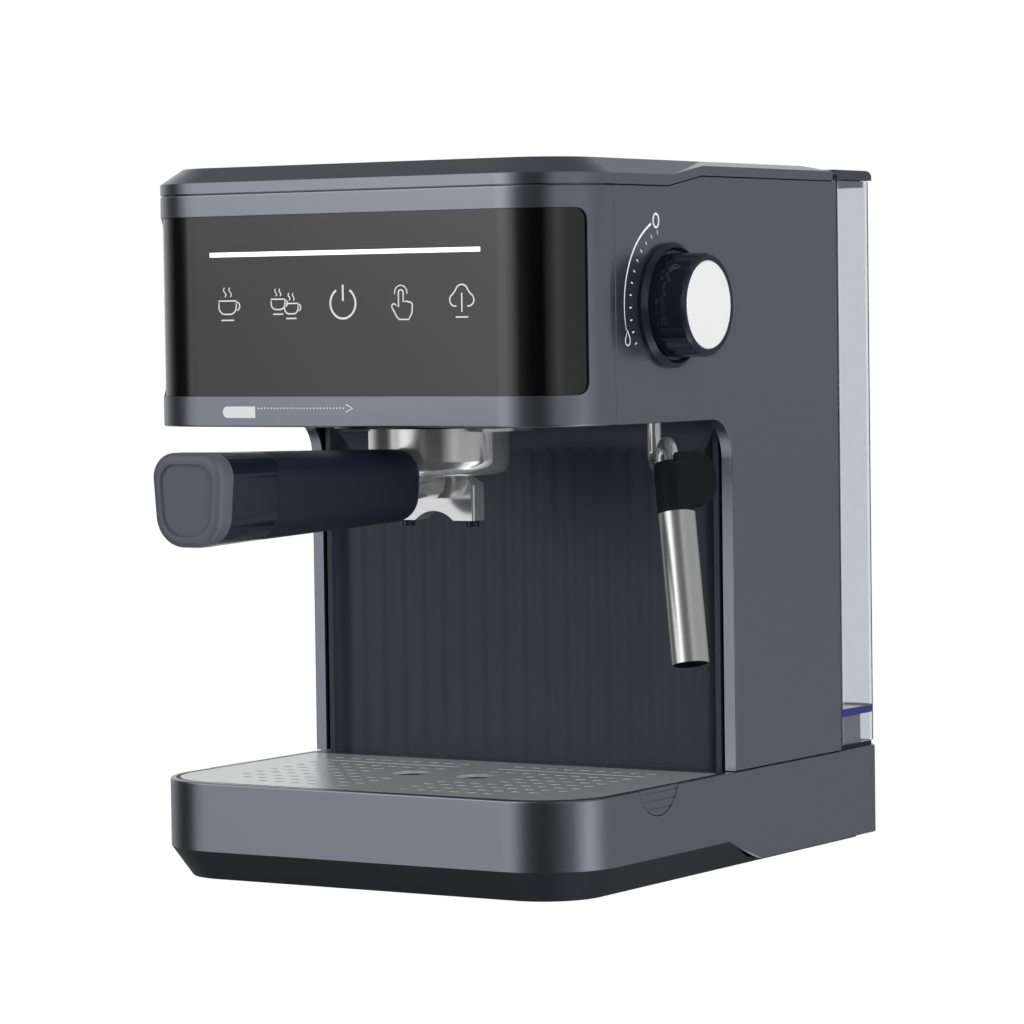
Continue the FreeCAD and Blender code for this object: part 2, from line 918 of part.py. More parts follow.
def splash_panel():
    """Fluted wall behind the cups, drawn forward at both ends and coved into the head."""
    level = rim_level
    side = inner_side - splash_gap
    lip = opening_depth + splash_lip_setback
    face = opening_depth + splash_recess
    back = splash_back
    radius = splash_corner_radius
    rise = face - lip
    run = math.sqrt(radius ** 2 - (radius - rise) ** 2)
    land = (side - base_wall)
    flat = land - run
    bow = math.asin(run / radius) / 2
    mid_x = flat + radius * math.sin(bow)
    mid_y = face - radius + radius * math.cos(bow)
    edges = [
        Part.LineSegment(point(-side, lip, level), point(-side, back, level)).toShape(),
        Part.LineSegment(point(-side, back, level), point(side, back, level)).toShape(),
        Part.LineSegment(point(side, back, level), point(side, lip, level)).toShape(),
        Part.LineSegment(point(side, lip, level), point(land, lip, level)).toShape(),
        Part.Arc(point(land, lip, level), point(mid_x, mid_y, level), point(flat, face, level)).toShape(),
    ]
    edges += flute_edges(level, flat, face)
    edges += [
        Part.Arc(point(-flat, face, level), point(-mid_x, mid_y, level), point(-land, lip, level)).toShape(),
        Part.LineSegment(point(-land, lip, level), point(-side, lip, level)).toShape(),
    ]
    wall = Part.Face(Part.Wire(edges)).extrude(up * (floor_under - rim_level))
    cove_start = face - cove_radius
    cove_arc = Part.Arc(
        point(-side, cove_start, floor_under),
        point(-side, cove_start + cove_radius * math.sin(math.pi / 4),
              floor_under - cove_radius + cove_radius * math.cos(math.pi / 4)),
        point(-side, face, floor_under - cove_radius))
    cove_edges = [
        cove_arc.toShape(),
        Part.LineSegment(point(-side, face, floor_under - cove_radius),
                         point(-side, back, floor_under - cove_radius)).toShape(),
        Part.LineSegment(point(-side, back, floor_under - cove_radius), point(-side, back, floor_under)).toShape(),
        Part.LineSegment(point(-side, back, floor_under), point(-side, cove_start, floor_under)).toShape(),
    ]
    cove = Part.Face(Part.Wire(cove_edges)).extrude(rightward * (2 * side))
    return wall.fuse(cove).removeSplitter()


def rear_panel():
    side = inner_side - floor_gap
    back = column_back - rear_panel_setback
    front = back - rear_panel_thickness
    high = raised_line - seam_gap - panel_rim
    panel = box(-side, side, front, back, rim_level, high)
    ribs = []
    for place in (-side / 2, 0, side / 2):
        ribs.append(box(place - rear_panel_thickness / 2, place + rear_panel_thickness / 2,
                        front - panel_return, front, rim_level, high))
    return fused([panel] + ribs)


# Head


def wrap_face(outer_inset, inner_inset, wrap, level):
    """Plan face of a band that follows the front and wraps round both front corners."""
    outer = front_corner_radius - outer_inset
    inner = front_corner_radius - inner_inset
    middle_side = half_width - front_corner_radius

    def place(hand, radius, angle):
        turn = math.radians(angle)
        return point(hand * (middle_side + radius * math.sin(turn)),
                     front_corner_radius - radius * math.cos(turn), level)

    edges = [
        Part.Arc(place(-1, outer, wrap), place(-1, outer, wrap / 2), place(-1, outer, 0)).toShape(),
        Part.LineSegment(place(-1, outer, 0), place(1, outer, 0)).toShape(),
        Part.Arc(place(1, outer, 0), place(1, outer, wrap / 2), place(1, outer, wrap)).toShape(),
        Part.LineSegment(place(1, outer, wrap), place(1, inner, wrap)).toShape(),
        Part.Arc(place(1, inner, wrap), place(1, inner, wrap / 2), place(1, inner, 0)).toShape(),
        Part.LineSegment(place(1, inner, 0), place(-1, inner, 0)).toShape(),
        Part.Arc(place(-1, inner, 0), place(-1, inner, wrap / 2), place(-1, inner, wrap)).toShape(),
        Part.LineSegment(place(-1, inner, wrap), place(-1, outer, wrap)).toShape(),
    ]
    return Part.Face(Part.Wire(edges))


def wrap_block(outer_inset, inner_inset, shrink):
    """Band of the window, drawn in all round by a clearance, with rounded ends."""
    wrap = window_wrap - math.degrees(shrink / front_corner_radius)
    low = head_bottom + window_bottom + shrink
    high = head_bottom + window_bottom + window_height - shrink
    block = wrap_face(outer_inset, inner_inset, wrap, low).extrude(up * (high - low))
    turn = math.radians(wrap)
    middle_inset = (outer_inset + inner_inset) / 2
    end_side = half_width - front_corner_radius + (front_corner_radius - middle_inset) * math.sin(turn)
    ends = edges_at(block, lambda c: abs(abs(c.x) - end_side) < tiny and (c.z < low + tiny or c.z > high - tiny))
    return block.makeFillet(window_corner_radius - shrink, ends)


def head_bezel():
    """Painted front of the head, with the wrap-round window cut through it."""
    outer = body_block(0, head_bottom, cover_line - seam_gap)
    outer = outer.makeFillet(edge_radius, [edge for edge in outer.Edges if not is_upright(edge)])
    front = box(-body_width, body_width, -over, bezel_depth, head_bottom - over, cover_line + over)
    bezel = outer.common(front)
    bezel = bezel.cut(body_block(bezel_wall, head_bottom - over, cover_line + over))
    return bezel.cut(wrap_block(-over, bezel_wall + over, 0))


def is_upright(edge):
    box_of_edge = edge.BoundBox
    return box_of_edge.ZLength > max(box_of_edge.XLength, box_of_edge.YLength)


def touch_panel():
    """Gloss panel in the window, with a slot for the lamp."""
    panel = wrap_block(touch_recess, touch_recess + touch_thickness, touch_gap)
    level = head_bottom + lamp_level
    half = lamp_height / 2 + lamp_fit
    length = lamp_half_length + lamp_fit
    return panel.cut(box(-length, length, -over, touch_recess + touch_thickness + over, level - half, level + half))


def light_bar():
    level = head_bottom + lamp_level
    half = lamp_height / 2
    return box(-lamp_half_length, lamp_half_length, touch_recess, touch_recess + touch_thickness,
               level - half, level + half)


def key_places():
    first = -key_pitch * (key_count - 1) / 2
    return [first + key_pitch * index for index in range(key_count)]


def touch_springs():
    """Sensing pads behind the panel, one for each key, on their stems."""
    front = touch_recess + touch_thickness
    level = head_bottom + key_level
    springs = []
    for side in key_places():
        pad = rod(point(side, front, level), rearward, key_pad_radius, board_thickness)
        stem = rod(point(side, front, level), rearward, key_spring_radius, key_spring_length)
        springs.append(pad.fuse(stem).removeSplitter())
    return Part.makeCompound(springs)


def control_board():
    front = touch_recess + touch_thickness + key_spring_length
    level = head_bottom + key_level
    low = level - board_height / 2
    board = box(-board_half_width, board_half_width, front, front + board_thickness, low, low + board_height)
    chips = []
    for side in key_places()[1:-1]:
        chips.append(box(side - chip_size / 2, side + chip_size / 2, front + board_thickness,
                         front + board_thickness + chip_height, level, level + chip_size))
    return fused([board] + chips)


def cover_corners(inset):
    return plan_corners(inset, column_back - cover_rear_gap, cover_rear_radius + inset)


def cover_solid(lip_level):
    """Cover with an upright lip and a chamfer up to the flat top."""
    lip = plan_block(cover_corners(0), cover_line, lip_level)
    crown = plan_loft(cover_corners(0), lip_level, cover_corners(cover_chamfer_inset), cover_top)
    return lip.fuse(crown)


def top_cover():
    """Top cover whose side edges step up towards the rear."""
    ramp_start = step_start + cover_ramp_lead
    slope = cover_step / step_length
    ramp_top = cover_top + over
    raised_zone = side_block([
        (ramp_start, lip_top, 0),
        (body_depth, lip_top, 0),
        (body_depth, ramp_top, 0),
        (ramp_start + (ramp_top - lip_top) / slope, ramp_top, 0),
    ], -body_width, body_width)
    cover = cover_solid(lip_top).fuse(cover_solid(raised_lip_top).common(raised_zone))
    below = side_block([
        (step_start, cover_line - over, 0),
        (body_depth, cover_line - over, 0),
        (body_depth, raised_line, 0),
        (step_end, raised_line, 0),
        (step_start, cover_line, 0),
    ], -body_width, body_width)
    cover = cover.cut(below)
    inner_level = lip_top - cover_wall / 2
    hollow = plan_block(cover_corners(cover_wall), cover_line - over, inner_level)
    dome = plan_loft(cover_corners(cover_wall), inner_level,
                     cover_corners(cover_chamfer_inset + cover_wall / 2), cover_top - cover_wall)
    cover = cover.cut(hollow.fuse(dome))
    tongue_inset = bezel_wall + tongue_gap
    tongue = body_block(tongue_inset, cover_line - tongue_depth, inner_level)
    ledge = body_block(cover_wall / 2, cover_line, cover_line + tongue_wall)
    tongue = tongue.fuse(ledge).cut(body_block(tongue_inset + tongue_wall, cover_line - over, lip_top))
    tongue_zone = box(-body_width, body_width, -over, bezel_depth - tongue_gap, cover_line - over, lip_top + over)
    return cover.fuse(tongue.common(tongue_zone)).removeSplitter()


def head_floor():
    """Underside of the head, with openings for the brew group and the steam pipe."""
    front_half = box(-body_width, body_width, -over, bezel_depth, floor_under - over, floor_top + over)
    front = body_block(bezel_wall + floor_gap, floor_under, floor_top).common(front_half)
    side = inner_side - floor_gap
    back = opening_depth + splash_recess
    rear = box(-side, side, bezel_depth - over, back, floor_under, floor_top)
    floor = front.fuse(rear).removeSplitter()
    floor = floor.cut(rod(point(0, group_setback, floor_under - over), up, collar_radius + collar_gap, 4 * over))
    return floor.cut(rod(point(wand_pivot_side, wand_pivot_setback, floor_under - over), up,
                         bush_radius + gasket_fit, 4 * over))


# Brew group


def bayonet_collar():
    """Locking ring: a shelf under the lugs, cut by a gate for each lug."""
    low = head_bottom - collar_drop
    shelf_top = low + shelf_thickness
    groove_radius = lug_radius + groove_gap
    profile = [
        (shelf_radius, low),
        (collar_radius, low),
        (collar_radius, floor_top),
        (groove_radius, floor_top),
        (groove_radius, shelf_top),
        (shelf_radius, shelf_top),
    ]
    collar = turned(profile, 0, group_setback)
    for angle in (-unlock_angle, 180 - unlock_angle):
        collar = collar.cut(sector(0, group_setback, groove_radius, angle, lug_half_angle + gate_margin,
                                   low - over, shelf_top + over))
    return collar


def group_head():
    """Cast brewing head with a gasket groove round the screen boss."""
    top = floor_top + group_height
    groove_top = bowl_top + basket_flange + gasket_lift + gasket_height
    boss_low = bowl_top + boss_drop
    inner = gasket_inner_radius - gasket_fit
    outer = gasket_outer_radius + gasket_fit
    profile = [
        (center_screw_radius + screw_fit, boss_low),
        (inner, boss_low),
        (inner, groove_top),
        (outer, groove_top),
        (outer, floor_top),
        (group_radius, floor_top),
        (group_radius, top),
        (center_screw_radius + screw_fit, top),
    ]
    return turned(profile, 0, group_setback)


def group_gasket():
    low = bowl_top + basket_flange + gasket_lift
    return ring(gasket_outer_radius, gasket_inner_radius, 0, group_setback, low, low + gasket_height)


def shower_screen():
    high = bowl_top + boss_drop
    screen = ring(screen_radius, center_screw_radius + screw_fit, 0, group_setback, high - screen_thickness, high)
    holes = []
    for hole_ring in range(1, screen_hole_rings + 1):
        circle = screen_hole_step * hole_ring
        count = 6 * hole_ring
        for index in range(count):
            turn = math.tau * index / count
            holes.append(rod(point(circle * math.cos(turn), group_setback + circle * math.sin(turn), high - over),
                             up, screen_hole_radius, 2 * over))
    return screen.cut(Part.makeCompound(holes))


def shower_screw():
    seat = bowl_top + boss_drop - screen_thickness
    head = rod(point(0, group_setback, seat - center_screw_head_height), up,
               center_screw_head_radius, center_screw_head_height)
    head = head.makeFillet(edge_radius, edges_at(head, lambda c: c.z < seat - center_screw_head_height + tiny))
    shank = rod(point(0, group_setback, seat), up, center_screw_radius, center_screw_length)
    return head.fuse(shank).removeSplitter()


def boiler_base():
    return floor_top + group_height


def boiler():
    """Domed boiler on a bolted flange."""
    low = boiler_base()
    shoulder = low + boiler_height
    profile = [
        (0, low),
        (group_radius, low),
        (group_radius, low + boiler_flange_height),
        (boiler_radius, low + boiler_flange_height),
        (boiler_radius, shoulder),
        (boiler_radius - boiler_dome, shoulder + boiler_dome),
        (0, shoulder + boiler_dome),
    ]
    vessel = turned(profile, 0, group_setback)
    for side in (-inlet_side, inlet_side):
        vessel = vessel.fuse(rod(point(side, group_setback, shoulder + boiler_dome), up,
                                 valve_branch_radius, valve_branch_length))
    vessel = vessel.removeSplitter()
    for side, setback in boiler_screw_places():
        vessel = vessel.cut(rod(point(side, setback, low - over), up, boiler_screw_radius + screw_fit, 4 * over))
    return vessel


def boiler_screw_places():
    places = []
    for index in range(boiler_screw_count):
        turn = math.tau * (index + 0.5) / boiler_screw_count
        places.append((boiler_screw_circle * math.cos(turn), group_setback + boiler_screw_circle * math.sin(turn)))
    return places


def boiler_screws():
    seat = boiler_base() + boiler_flange_height
    screws = []
    for side, setback in boiler_screw_places():
        head = hexagon(boiler_screw_head * 2, point(side, setback, seat), up, boiler_screw_radius)
        shank = rod(point(side, setback, boiler_base()), up, boiler_screw_radius, boiler_flange_height)
        screws.append(head.fuse(shank).removeSplitter())
    return Part.makeCompound(screws)


def thermostats():
    """Two disc thermostats on top of the boiler."""
    seat = boiler_base() + boiler_height + boiler_dome
    discs = []
    for hand in (-1, 1):
        disc = rod(point(0, group_setback + hand * thermostat_offset, seat), up, thermostat_radius, thermostat_height / 2)
        cap = rod(point(0, group_setback + hand * thermostat_offset, seat), up, thermostat_radius * 0.7, thermostat_height)
        discs.append(disc.fuse(cap).removeSplitter())
    return Part.makeCompound(discs)


# Portafilter


def portafilter_bowl():
    """Bowl with its locking lugs, flange ears and the neck for the handle."""
    bowl = rod(point(0, group_setback, bowl_bottom), up, bowl_radius, bowl_depth)
    bowl = bowl.makeFillet(bowl_corner_radius, edges_at(bowl, lambda c: c.z < bowl_bottom + tiny))
    neck_end = group_setback - yoke_thickness / 2 - neck_gap
    neck_start = handle_root + hex_length
    neck = rod(point(0, neck_start, neck_level), rearward, neck_radius, neck_end - neck_start)
    hexed = hexagon(hex_flat, point(0, handle_root, neck_level), rearward, hex_length)
    parts = [bowl, neck, hexed]
    lug_low = head_bottom - collar_drop + shelf_thickness + lug_gap
    ear_high = head_bottom - collar_drop - ear_gap
    for angle in (0, 180):
        parts.append(sector(0, group_setback, lug_radius, angle, lug_half_angle, lug_low, lug_low + lug_height))
        ear = sector(0, group_setback, ear_radius, angle, ear_half_angle, ear_high - ear_thickness, ear_high)
        parts.append(ear)
    bowl = fused(parts)
    hollow = rod(point(0, group_setback, bowl_bottom + bowl_floor), up, bowl_radius - bowl_wall, bowl_depth)
    bowl = bowl.cut(hollow)
    bowl = bowl.cut(rod(point(0, group_setback, bowl_bottom - over), up, drain_radius, 2 * over))
    return bowl.cut(rod(point(0, handle_root - over, neck_level), rearward, stud_radius + stud_fit,
                        neck_end - handle_root))


def filter_basket():
    """Steel cup that hangs by its flange on the bowl's rim."""
    outer = bowl_radius - bowl_wall - basket_gap
    inner = outer - basket_wall
    low = bowl_top - basket_depth
    profile = [
        (0, low),
        (outer, low),
        (outer, bowl_top),
        (bowl_radius, bowl_top),
        (bowl_radius, bowl_top + basket_flange),
        (inner, bowl_top + basket_flange),
        (inner, low + basket_wall),
        (0, low + basket_wall),
    ]
    return turned(profile, 0, group_setback)


def scoop(hand):
    """Long dish with ball ends that hollows one face of the spout, front (-1) or back (1)."""
    reach = scoop_radius - scoop_depth
    setback = group_setback + hand * (yoke_thickness / 2 + reach)
    chord = math.sqrt(scoop_radius ** 2 - reach ** 2)
    half_run = yoke_half_width - scoop_end_wall - chord
    parts = [rod(point(-half_run, setback, bowl_bottom), rightward, scoop_radius, 2 * half_run)]
    for side in (-half_run, half_run):
        parts.append(Part.makeSphere(scoop_radius, point(side, setback, bowl_bottom)))
    return fused(parts)


def spout_yoke():
    """Two-way spout: a saddle under the bowl, dished at front and back, with an arched underside."""
    low = bowl_bottom - yoke_drop
    front = group_setback - yoke_thickness / 2
    end_top = low + yoke_end_height

    def place(side, level):
        return point(side, front, level)

    edges = [
        Part.LineSegment(place(-yoke_half_width, low), place(-yoke_arch_half, low)).toShape(),
        Part.Arc(place(-yoke_arch_half, low), place(0, low + yoke_arch_rise), place(yoke_arch_half, low)).toShape(),
        Part.LineSegment(place(yoke_arch_half, low), place(yoke_half_width, low)).toShape(),
        Part.LineSegment(place(yoke_half_width, low), place(yoke_half_width, end_top)).toShape(),
        Part.LineSegment(place(yoke_half_width, end_top), place(yoke_shoulder, bowl_bottom)).toShape(),
        Part.LineSegment(place(yoke_shoulder, bowl_bottom), place(-yoke_shoulder, bowl_bottom)).toShape(),
        Part.LineSegment(place(-yoke_shoulder, bowl_bottom), place(-yoke_half_width, end_top)).toShape(),
        Part.LineSegment(place(-yoke_half_width, end_top), place(-yoke_half_width, low)).toShape(),
    ]
    saddle = Part.Face(Part.Wire(edges)).extrude(rearward * yoke_thickness)
    saddle = saddle.makeFillet(yoke_edge_radius, edges_at(
        saddle, lambda c: abs(abs(c.x) - yoke_half_width) < tiny and low + tiny < c.z < end_top - tiny))
    saddle = saddle.cut(scoop(-1)).cut(scoop(1))
    level = low + channel_level
    post = rod(point(0, group_setback, level), up, yoke_thickness / 2, bowl_bottom - level)
    yoke = saddle.fuse(post).removeSplitter()
    yoke = yoke.cut(rod(point(0, group_setback, level), up, drain_radius, over + bowl_bottom - level))
    yoke = yoke.cut(rod(point(-outlet_offset, group_setback, level), rightward, outlet_bore, 2 * outlet_offset))
    for side in (-outlet_offset, outlet_offset):
        yoke = yoke.cut(rod(point(side, group_setback, low - over), up, outlet_bore, over + channel_level))
    return yoke


def spout_tips():
    high = bowl_bottom - yoke_drop
    tips = []
    for side in (-outlet_offset, outlet_offset):
        tips.append(ring(outlet_radius, outlet_bore, side, group_setback, high - outlet_length, high))
    return Part.makeCompound(tips)


def handle_wire(setback, width, height, upper_share=upper_corner_share, lower_share=lower_corner_share):
    """Shield-shaped section of the handle, narrower and rounder below."""
    half_top = width / 2
    half_low = half_top * handle_narrowing
    high = neck_level + height / 2
    low = neck_level - height / 2
    upper = width * upper_share
    lower = width * lower_share
    corners = [
        (-half_low, low, lower),
        (half_low, low, lower),
        (half_top, high, upper),
        (-half_top, high, upper),
    ]
    return rounded_wire(corners, lambda u, v: point(u, setback, v))


def handle_grip():
    """Tapered grip, thicker towards its end, bored for the stud."""
    grip = Part.makeLoft([
        handle_wire(collar_back, handle_width, handle_height),
        handle_wire(handle_root, handle_root_width, handle_root_height, root_corner_share, root_corner_share),
    ], True, True)
    grip = grip.makeFillet(handle_edge_radius, edges_at(grip, lambda c: c.y > handle_root - tiny))
    return grip.cut(rod(point(0, handle_root - stud_length, neck_level), rearward, stud_radius + stud_fit,
                        stud_length + over))


def handle_collar():
    return Part.makeLoft([
        handle_wire(cap_back, cap_width, cap_height),
        handle_wire(collar_back, handle_width, handle_height),
    ], True, True)


def handle_end_cap():
    """End cap with a sunk face inside a rounded rim."""
    cap = Part.Face(handle_wire(handle_tip, cap_width, cap_height)).extrude(rearward * cap_length)
    cap = cap.makeFillet(cap_edge_radius, edges_at(cap, lambda c: c.y < handle_tip + tiny))
    inset = 2 * cap_face_inset
    face = Part.Face(handle_wire(handle_tip - over, cap_width - inset, cap_height - inset))
    return cap.cut(face.extrude(rearward * (over + cap_face_depth)))


def handle_stud():
    start = handle_root - stud_length + stud_fit
    end = group_setback - yoke_thickness / 2 - neck_gap - over
    stud = rod(point(0, start, neck_level), rearward, stud_radius, end - start - stud_fit)
    return stud.makeChamfer(edge_radius, edges_at(stud, lambda c: c.y < start + tiny))


# Steam knob and valve


def knob_body():
    """Fluted knob with a recess for its metal face."""
    back = half_width + knob_standoff
    front = half_width + knob_proud
    profile = [
        (back, 0),
        (back, knob_radius),
        (front - knob_edge, knob_radius),
        (front, knob_radius - knob_edge),
        (front, insert_radius + insert_fit),
        (front - insert_depth, insert_radius + insert_fit),
        (front - insert_depth, 0),
    ]
    knob = turned_sideways(profile, knob_setback, knob_height)
    cutters = []
    reach = knob_radius + knob_flute_radius - knob_flute_depth
    for index in range(knob_flute_count):
        turn = math.tau * index / knob_flute_count
        start = point(half_width + dial_ring_height, knob_setback + reach * math.cos(turn),
                      knob_height + reach * math.sin(turn))
        cutters.append(rod(start, rightward, knob_flute_radius, knob_proud))
    knob = knob.cut(Part.makeCompound(cutters))
    socket = rod(point(back - over, knob_setback, knob_height), rightward, spindle_radius + spindle_fit,
                 over + spindle_depth)
    return knob.cut(socket)


def knob_insert():
    back = half_width + knob_proud - insert_depth
    disc = rod(point(back, knob_setback, knob_height), rightward, insert_radius, insert_depth)
    return disc.makeChamfer(edge_radius / 2, edges_at(disc, lambda c: c.x > back + insert_depth - tiny))


def dial_ring():
    """Bevelled ring on the side panel round the knob."""
    inner = knob_radius + dial_ring_gap
    front = half_width + dial_ring_height
    profile = [
        (half_width, inner),
        (half_width, dial_ring_radius),
        (front - dial_ring_bevel, dial_ring_radius),
        (front, dial_ring_radius - dial_ring_bevel),
        (front - dial_ring_sink, inner + dial_ring_gap),
        (front - dial_ring_sink, inner),
    ]
    return turned_sideways(profile, knob_setback, knob_height)


def valve_spindle():
    front = half_width + knob_standoff + spindle_depth - spindle_fit
    back = half_width - spindle_reach
    return rod(point(back, knob_setback, knob_height), rightward, spindle_radius, front - back)


def steam_valve():
    """Brass valve with a neck through the side panel and two branches."""
    body_end = inner_side - over
    body_start = body_end - valve_length
    profile = [
        (body_start, 0),
        (body_start, valve_radius),
        (body_end, valve_radius),
        (body_end, valve_neck_radius),
        (half_width, valve_neck_radius),
        (half_width, 0),
    ]
    valve = turned_sideways(profile, knob_setback, knob_height)
    middle = (body_start + body_end) / 2
    branch = valve_radius + valve_branch_length
    valve = valve.fuse(rod(point(middle, knob_setback, knob_height - branch), up, valve_branch_radius, 2 * branch))
    valve = valve.removeSplitter()
    return valve.cut(rod(point(half_width - spindle_reach, knob_setback, knob_height), rightward,
                         spindle_radius + spindle_fit, spindle_reach + over))


def valve_nut():
    """Nut that clamps the valve's neck to the inside of the panel."""
    nut = hexagon(valve_nut_flat, point(inner_side - over + gasket_fit, knob_setback, knob_height), rightward,
                  skin_inside - inner_side + over - gasket_fit)
    return nut.cut(rod(point(inner_side - 2 * over, knob_setback, knob_height), rightward,
                       valve_neck_radius + screw_fit, 4 * over))


def valve_middle():
    return inner_side - over - valve_length / 2


# Steam wand


def wand_direction():
    """Level heading of the wand's hook, forward of straight out."""
    turn = math.radians(wand_heading)
    return point(math.cos(turn), -math.sin(turn), 0)


def wand_point(run, level):
    """Point in the wand's upright plane, by its run from the pivot."""
    return point(wand_pivot_side, wand_pivot_setback, 0) + wand_direction() * run + up * level


def wand_start():
    return head_bottom - wand_drop


def wand_joint():
    """Run, level and fall of the straight limb below the hook."""
    first = math.radians(wand_hook_turn - 90)
    last = math.radians(wand_lean - 90)
    bend = wand_bend_radius
    middle_run = bend + 2 * bend * math.sin(first)
    middle_level = wand_start() - 2 * bend * math.cos(first)
    run = middle_run - bend * math.sin(last)
    level = middle_level + bend * math.cos(last)
    return run, level, last


def limb_point(distance):
    """Point on the straight limb, by its distance below the hook."""
    run, level, heading = wand_joint()
    return wand_point(run + distance * math.cos(heading), level + distance * math.sin(heading))


def limb_direction():
    return (limb_point(1.0) - limb_point(0.0)).normalize()


def wand_pipe():
    """Steel pipe with a double bend under the head."""
    bend = wand_bend_radius
    first = math.radians(wand_hook_turn - 90)
    heading = wand_joint()[2]
    start = wand_start()
    middle_run = bend + 2 * bend * math.sin(first)
    middle_level = start - 2 * bend * math.cos(first)

    def lower(angle):
        return wand_point(bend + bend * math.sin(angle), start - bend * math.cos(angle))

    def upper(angle):
        return wand_point(middle_run - bend * math.sin(angle), middle_level + bend * math.cos(angle))

    end = wand_grip_start + wand_grip_length
    edges = [
        Part.LineSegment(wand_point(0, floor_top + wand_head_length), wand_point(0, start)).toShape(),
        Part.Arc(wand_point(0, start), lower((first - math.pi / 2) / 2), lower(first)).toShape(),
        Part.Arc(upper(first), upper((first + heading) / 2), upper(heading)).toShape(),
        Part.LineSegment(limb_point(0), limb_point(end)).toShape(),
    ]
    return tube(Part.Wire(edges), wand_pipe_radius, wand_pipe_bore)


def wand_grip():
    """Rubber grip on the pipe with a flat finger tab."""
    along = limb_direction()
    start = limb_point(wand_grip_start)
    grip = rod(start, along, wand_grip_radius, wand_grip_length)
    grip = grip.makeFillet(wand_grip_edge, [edge for edge in grip.Edges if edge.BoundBox.DiagonalLength > wand_grip_radius
                                            and (edge.CenterOfMass - start).Length < tiny])
    across = along.cross(wand_direction()).normalize()
    if across.y < 0:
        across = across * -1
    outward = along.cross(across).normalize()
    middle = start + along * (wand_grip_length / 2 - wand_tab_drop)
    half = wand_tab_height / 2
    corner_radius = half * wand_tab_round
    tab_corners = [
        (0, -half, 0),
        (wand_tab_reach, -half, corner_radius),
        (wand_tab_reach, half, corner_radius),
        (0, half, 0),
    ]
    rear_face = middle + outward * (wand_tab_forward - wand_tab_thickness / 2)
    wire = rounded_wire(tab_corners, lambda u, v: rear_face + across * u + along * v)
    tab = Part.Face(wire).extrude(outward * wand_tab_thickness)
    grip = grip.fuse(tab).removeSplitter()
    return grip.cut(rod(start - along * over, along, wand_pipe_radius + wand_fit, wand_grip_length + 2 * over))


def frother_sleeve():
    along = limb_direction()
    start = limb_point(wand_grip_start + wand_grip_length)
    sleeve = rod(start, along, sleeve_radius, sleeve_length)
    return sleeve.cut(rod(start - along * over, along, sleeve_radius - sleeve_wall, sleeve_length + 2 * over))


def wand_nozzle():
    """Steam nozzle inside the sleeve, with a collar that centres it."""
    along = limb_direction()
    start = limb_point(wand_grip_start + wand_grip_length)
    nozzle = rod(start, along, nozzle_radius, nozzle_length)
    collar = rod(start, along, sleeve_radius - sleeve_wall - wand_fit, nozzle_collar)
    nozzle = nozzle.fuse(collar).removeSplitter()
    return nozzle.cut(rod(start - along * over, along, wand_pipe_bore, nozzle_length + 2 * over))


def wand_bush():
    """Bearing bush in the head floor for the wand's pipe."""
    inner = wand_pipe_radius + wand_fit
    profile = [
        (inner, floor_under),
        (bush_radius, floor_under),
        (bush_radius, floor_top),
        (bush_flange_radius, floor_top),
        (bush_flange_radius, floor_top + bush_flange_height),
        (bush_radius, floor_top + bush_flange_height),
        (bush_radius, floor_top + bush_height),
        (inner, floor_top + bush_height),
    ]
    return turned(profile, wand_pivot_side, wand_pivot_setback)


# Water tank


def tank_corners(inset):
    side = tank_half - inset
    front_radius = max(tank_corner_radius - inset, edge_radius)
    back_radius = max(tank_rear_radius - inset, edge_radius)
    return [
        (-side, tank_front + inset, front_radius),
        (side, tank_front + inset, front_radius),
        (side, tank_back - inset, back_radius),
        (-side, tank_back - inset, back_radius),
    ]


def hinge_rod(side, start, length, radius):
    """Sideways cylinder on the lid's hinge axis, mirrored by side."""
    ends = sorted((side * start, side * (start + length)))
    return rod(point(ends[0], hinge_place, hinge_level), rightward, radius, ends[1] - ends[0])


def water_tank():
    """Clear tank with a raised floor over the pedestal, a band groove and two hinge ears."""
    tank = plan_block(tank_corners(0), tank_bottom, tank_top)
    tank = tank.cut(plan_block(tank_corners(tank_wall), tank_floor_top, tank_top + over))
    tank = tank.cut(plan_block(tank_corners(tank_wall), tank_bottom - over, tank_floor_under))
    for side in (-1, 1):
        ends = sorted((side * hinge_offset, side * (hinge_offset + hinge_ear_length)))
        ear = box(ends[0], ends[1], tank_front, hinge_place + hinge_ear_radius, tank_top - 2 * over, hinge_level)
        tank = tank.fuse(ear)
        tank = tank.fuse(hinge_rod(side, hinge_offset, hinge_ear_length, hinge_ear_radius))
    tank = tank.removeSplitter()
    for side in (-1, 1):
        tank = tank.cut(hinge_rod(side, hinge_offset - over, hinge_ear_length + 2 * over, hinge_pin_radius + hinge_pin_fit))
    tank = tank.cut(band_block(band_fit))
    return tank.cut(rod(point(tank_valve_offset, valve_place, tank_floor_under - over), up,
                        tank_valve_radius + gasket_fit, 4 * over))


def band_block(grow):
    low = tank_floor_under - grow
    outer = plan_block(tank_corners(-grow * over), low, low + band_height + 2 * grow)
    return outer.cut(plan_block(tank_corners(band_depth + grow), low - over, low + band_height + over))


def tank_band():
    """Coloured band round the tank at its floor."""
    low = tank_floor_under
    outer = plan_block(tank_corners(0), low, low + band_height)
    return outer.cut(plan_block(tank_corners(band_depth), low - over, low + band_height + over))


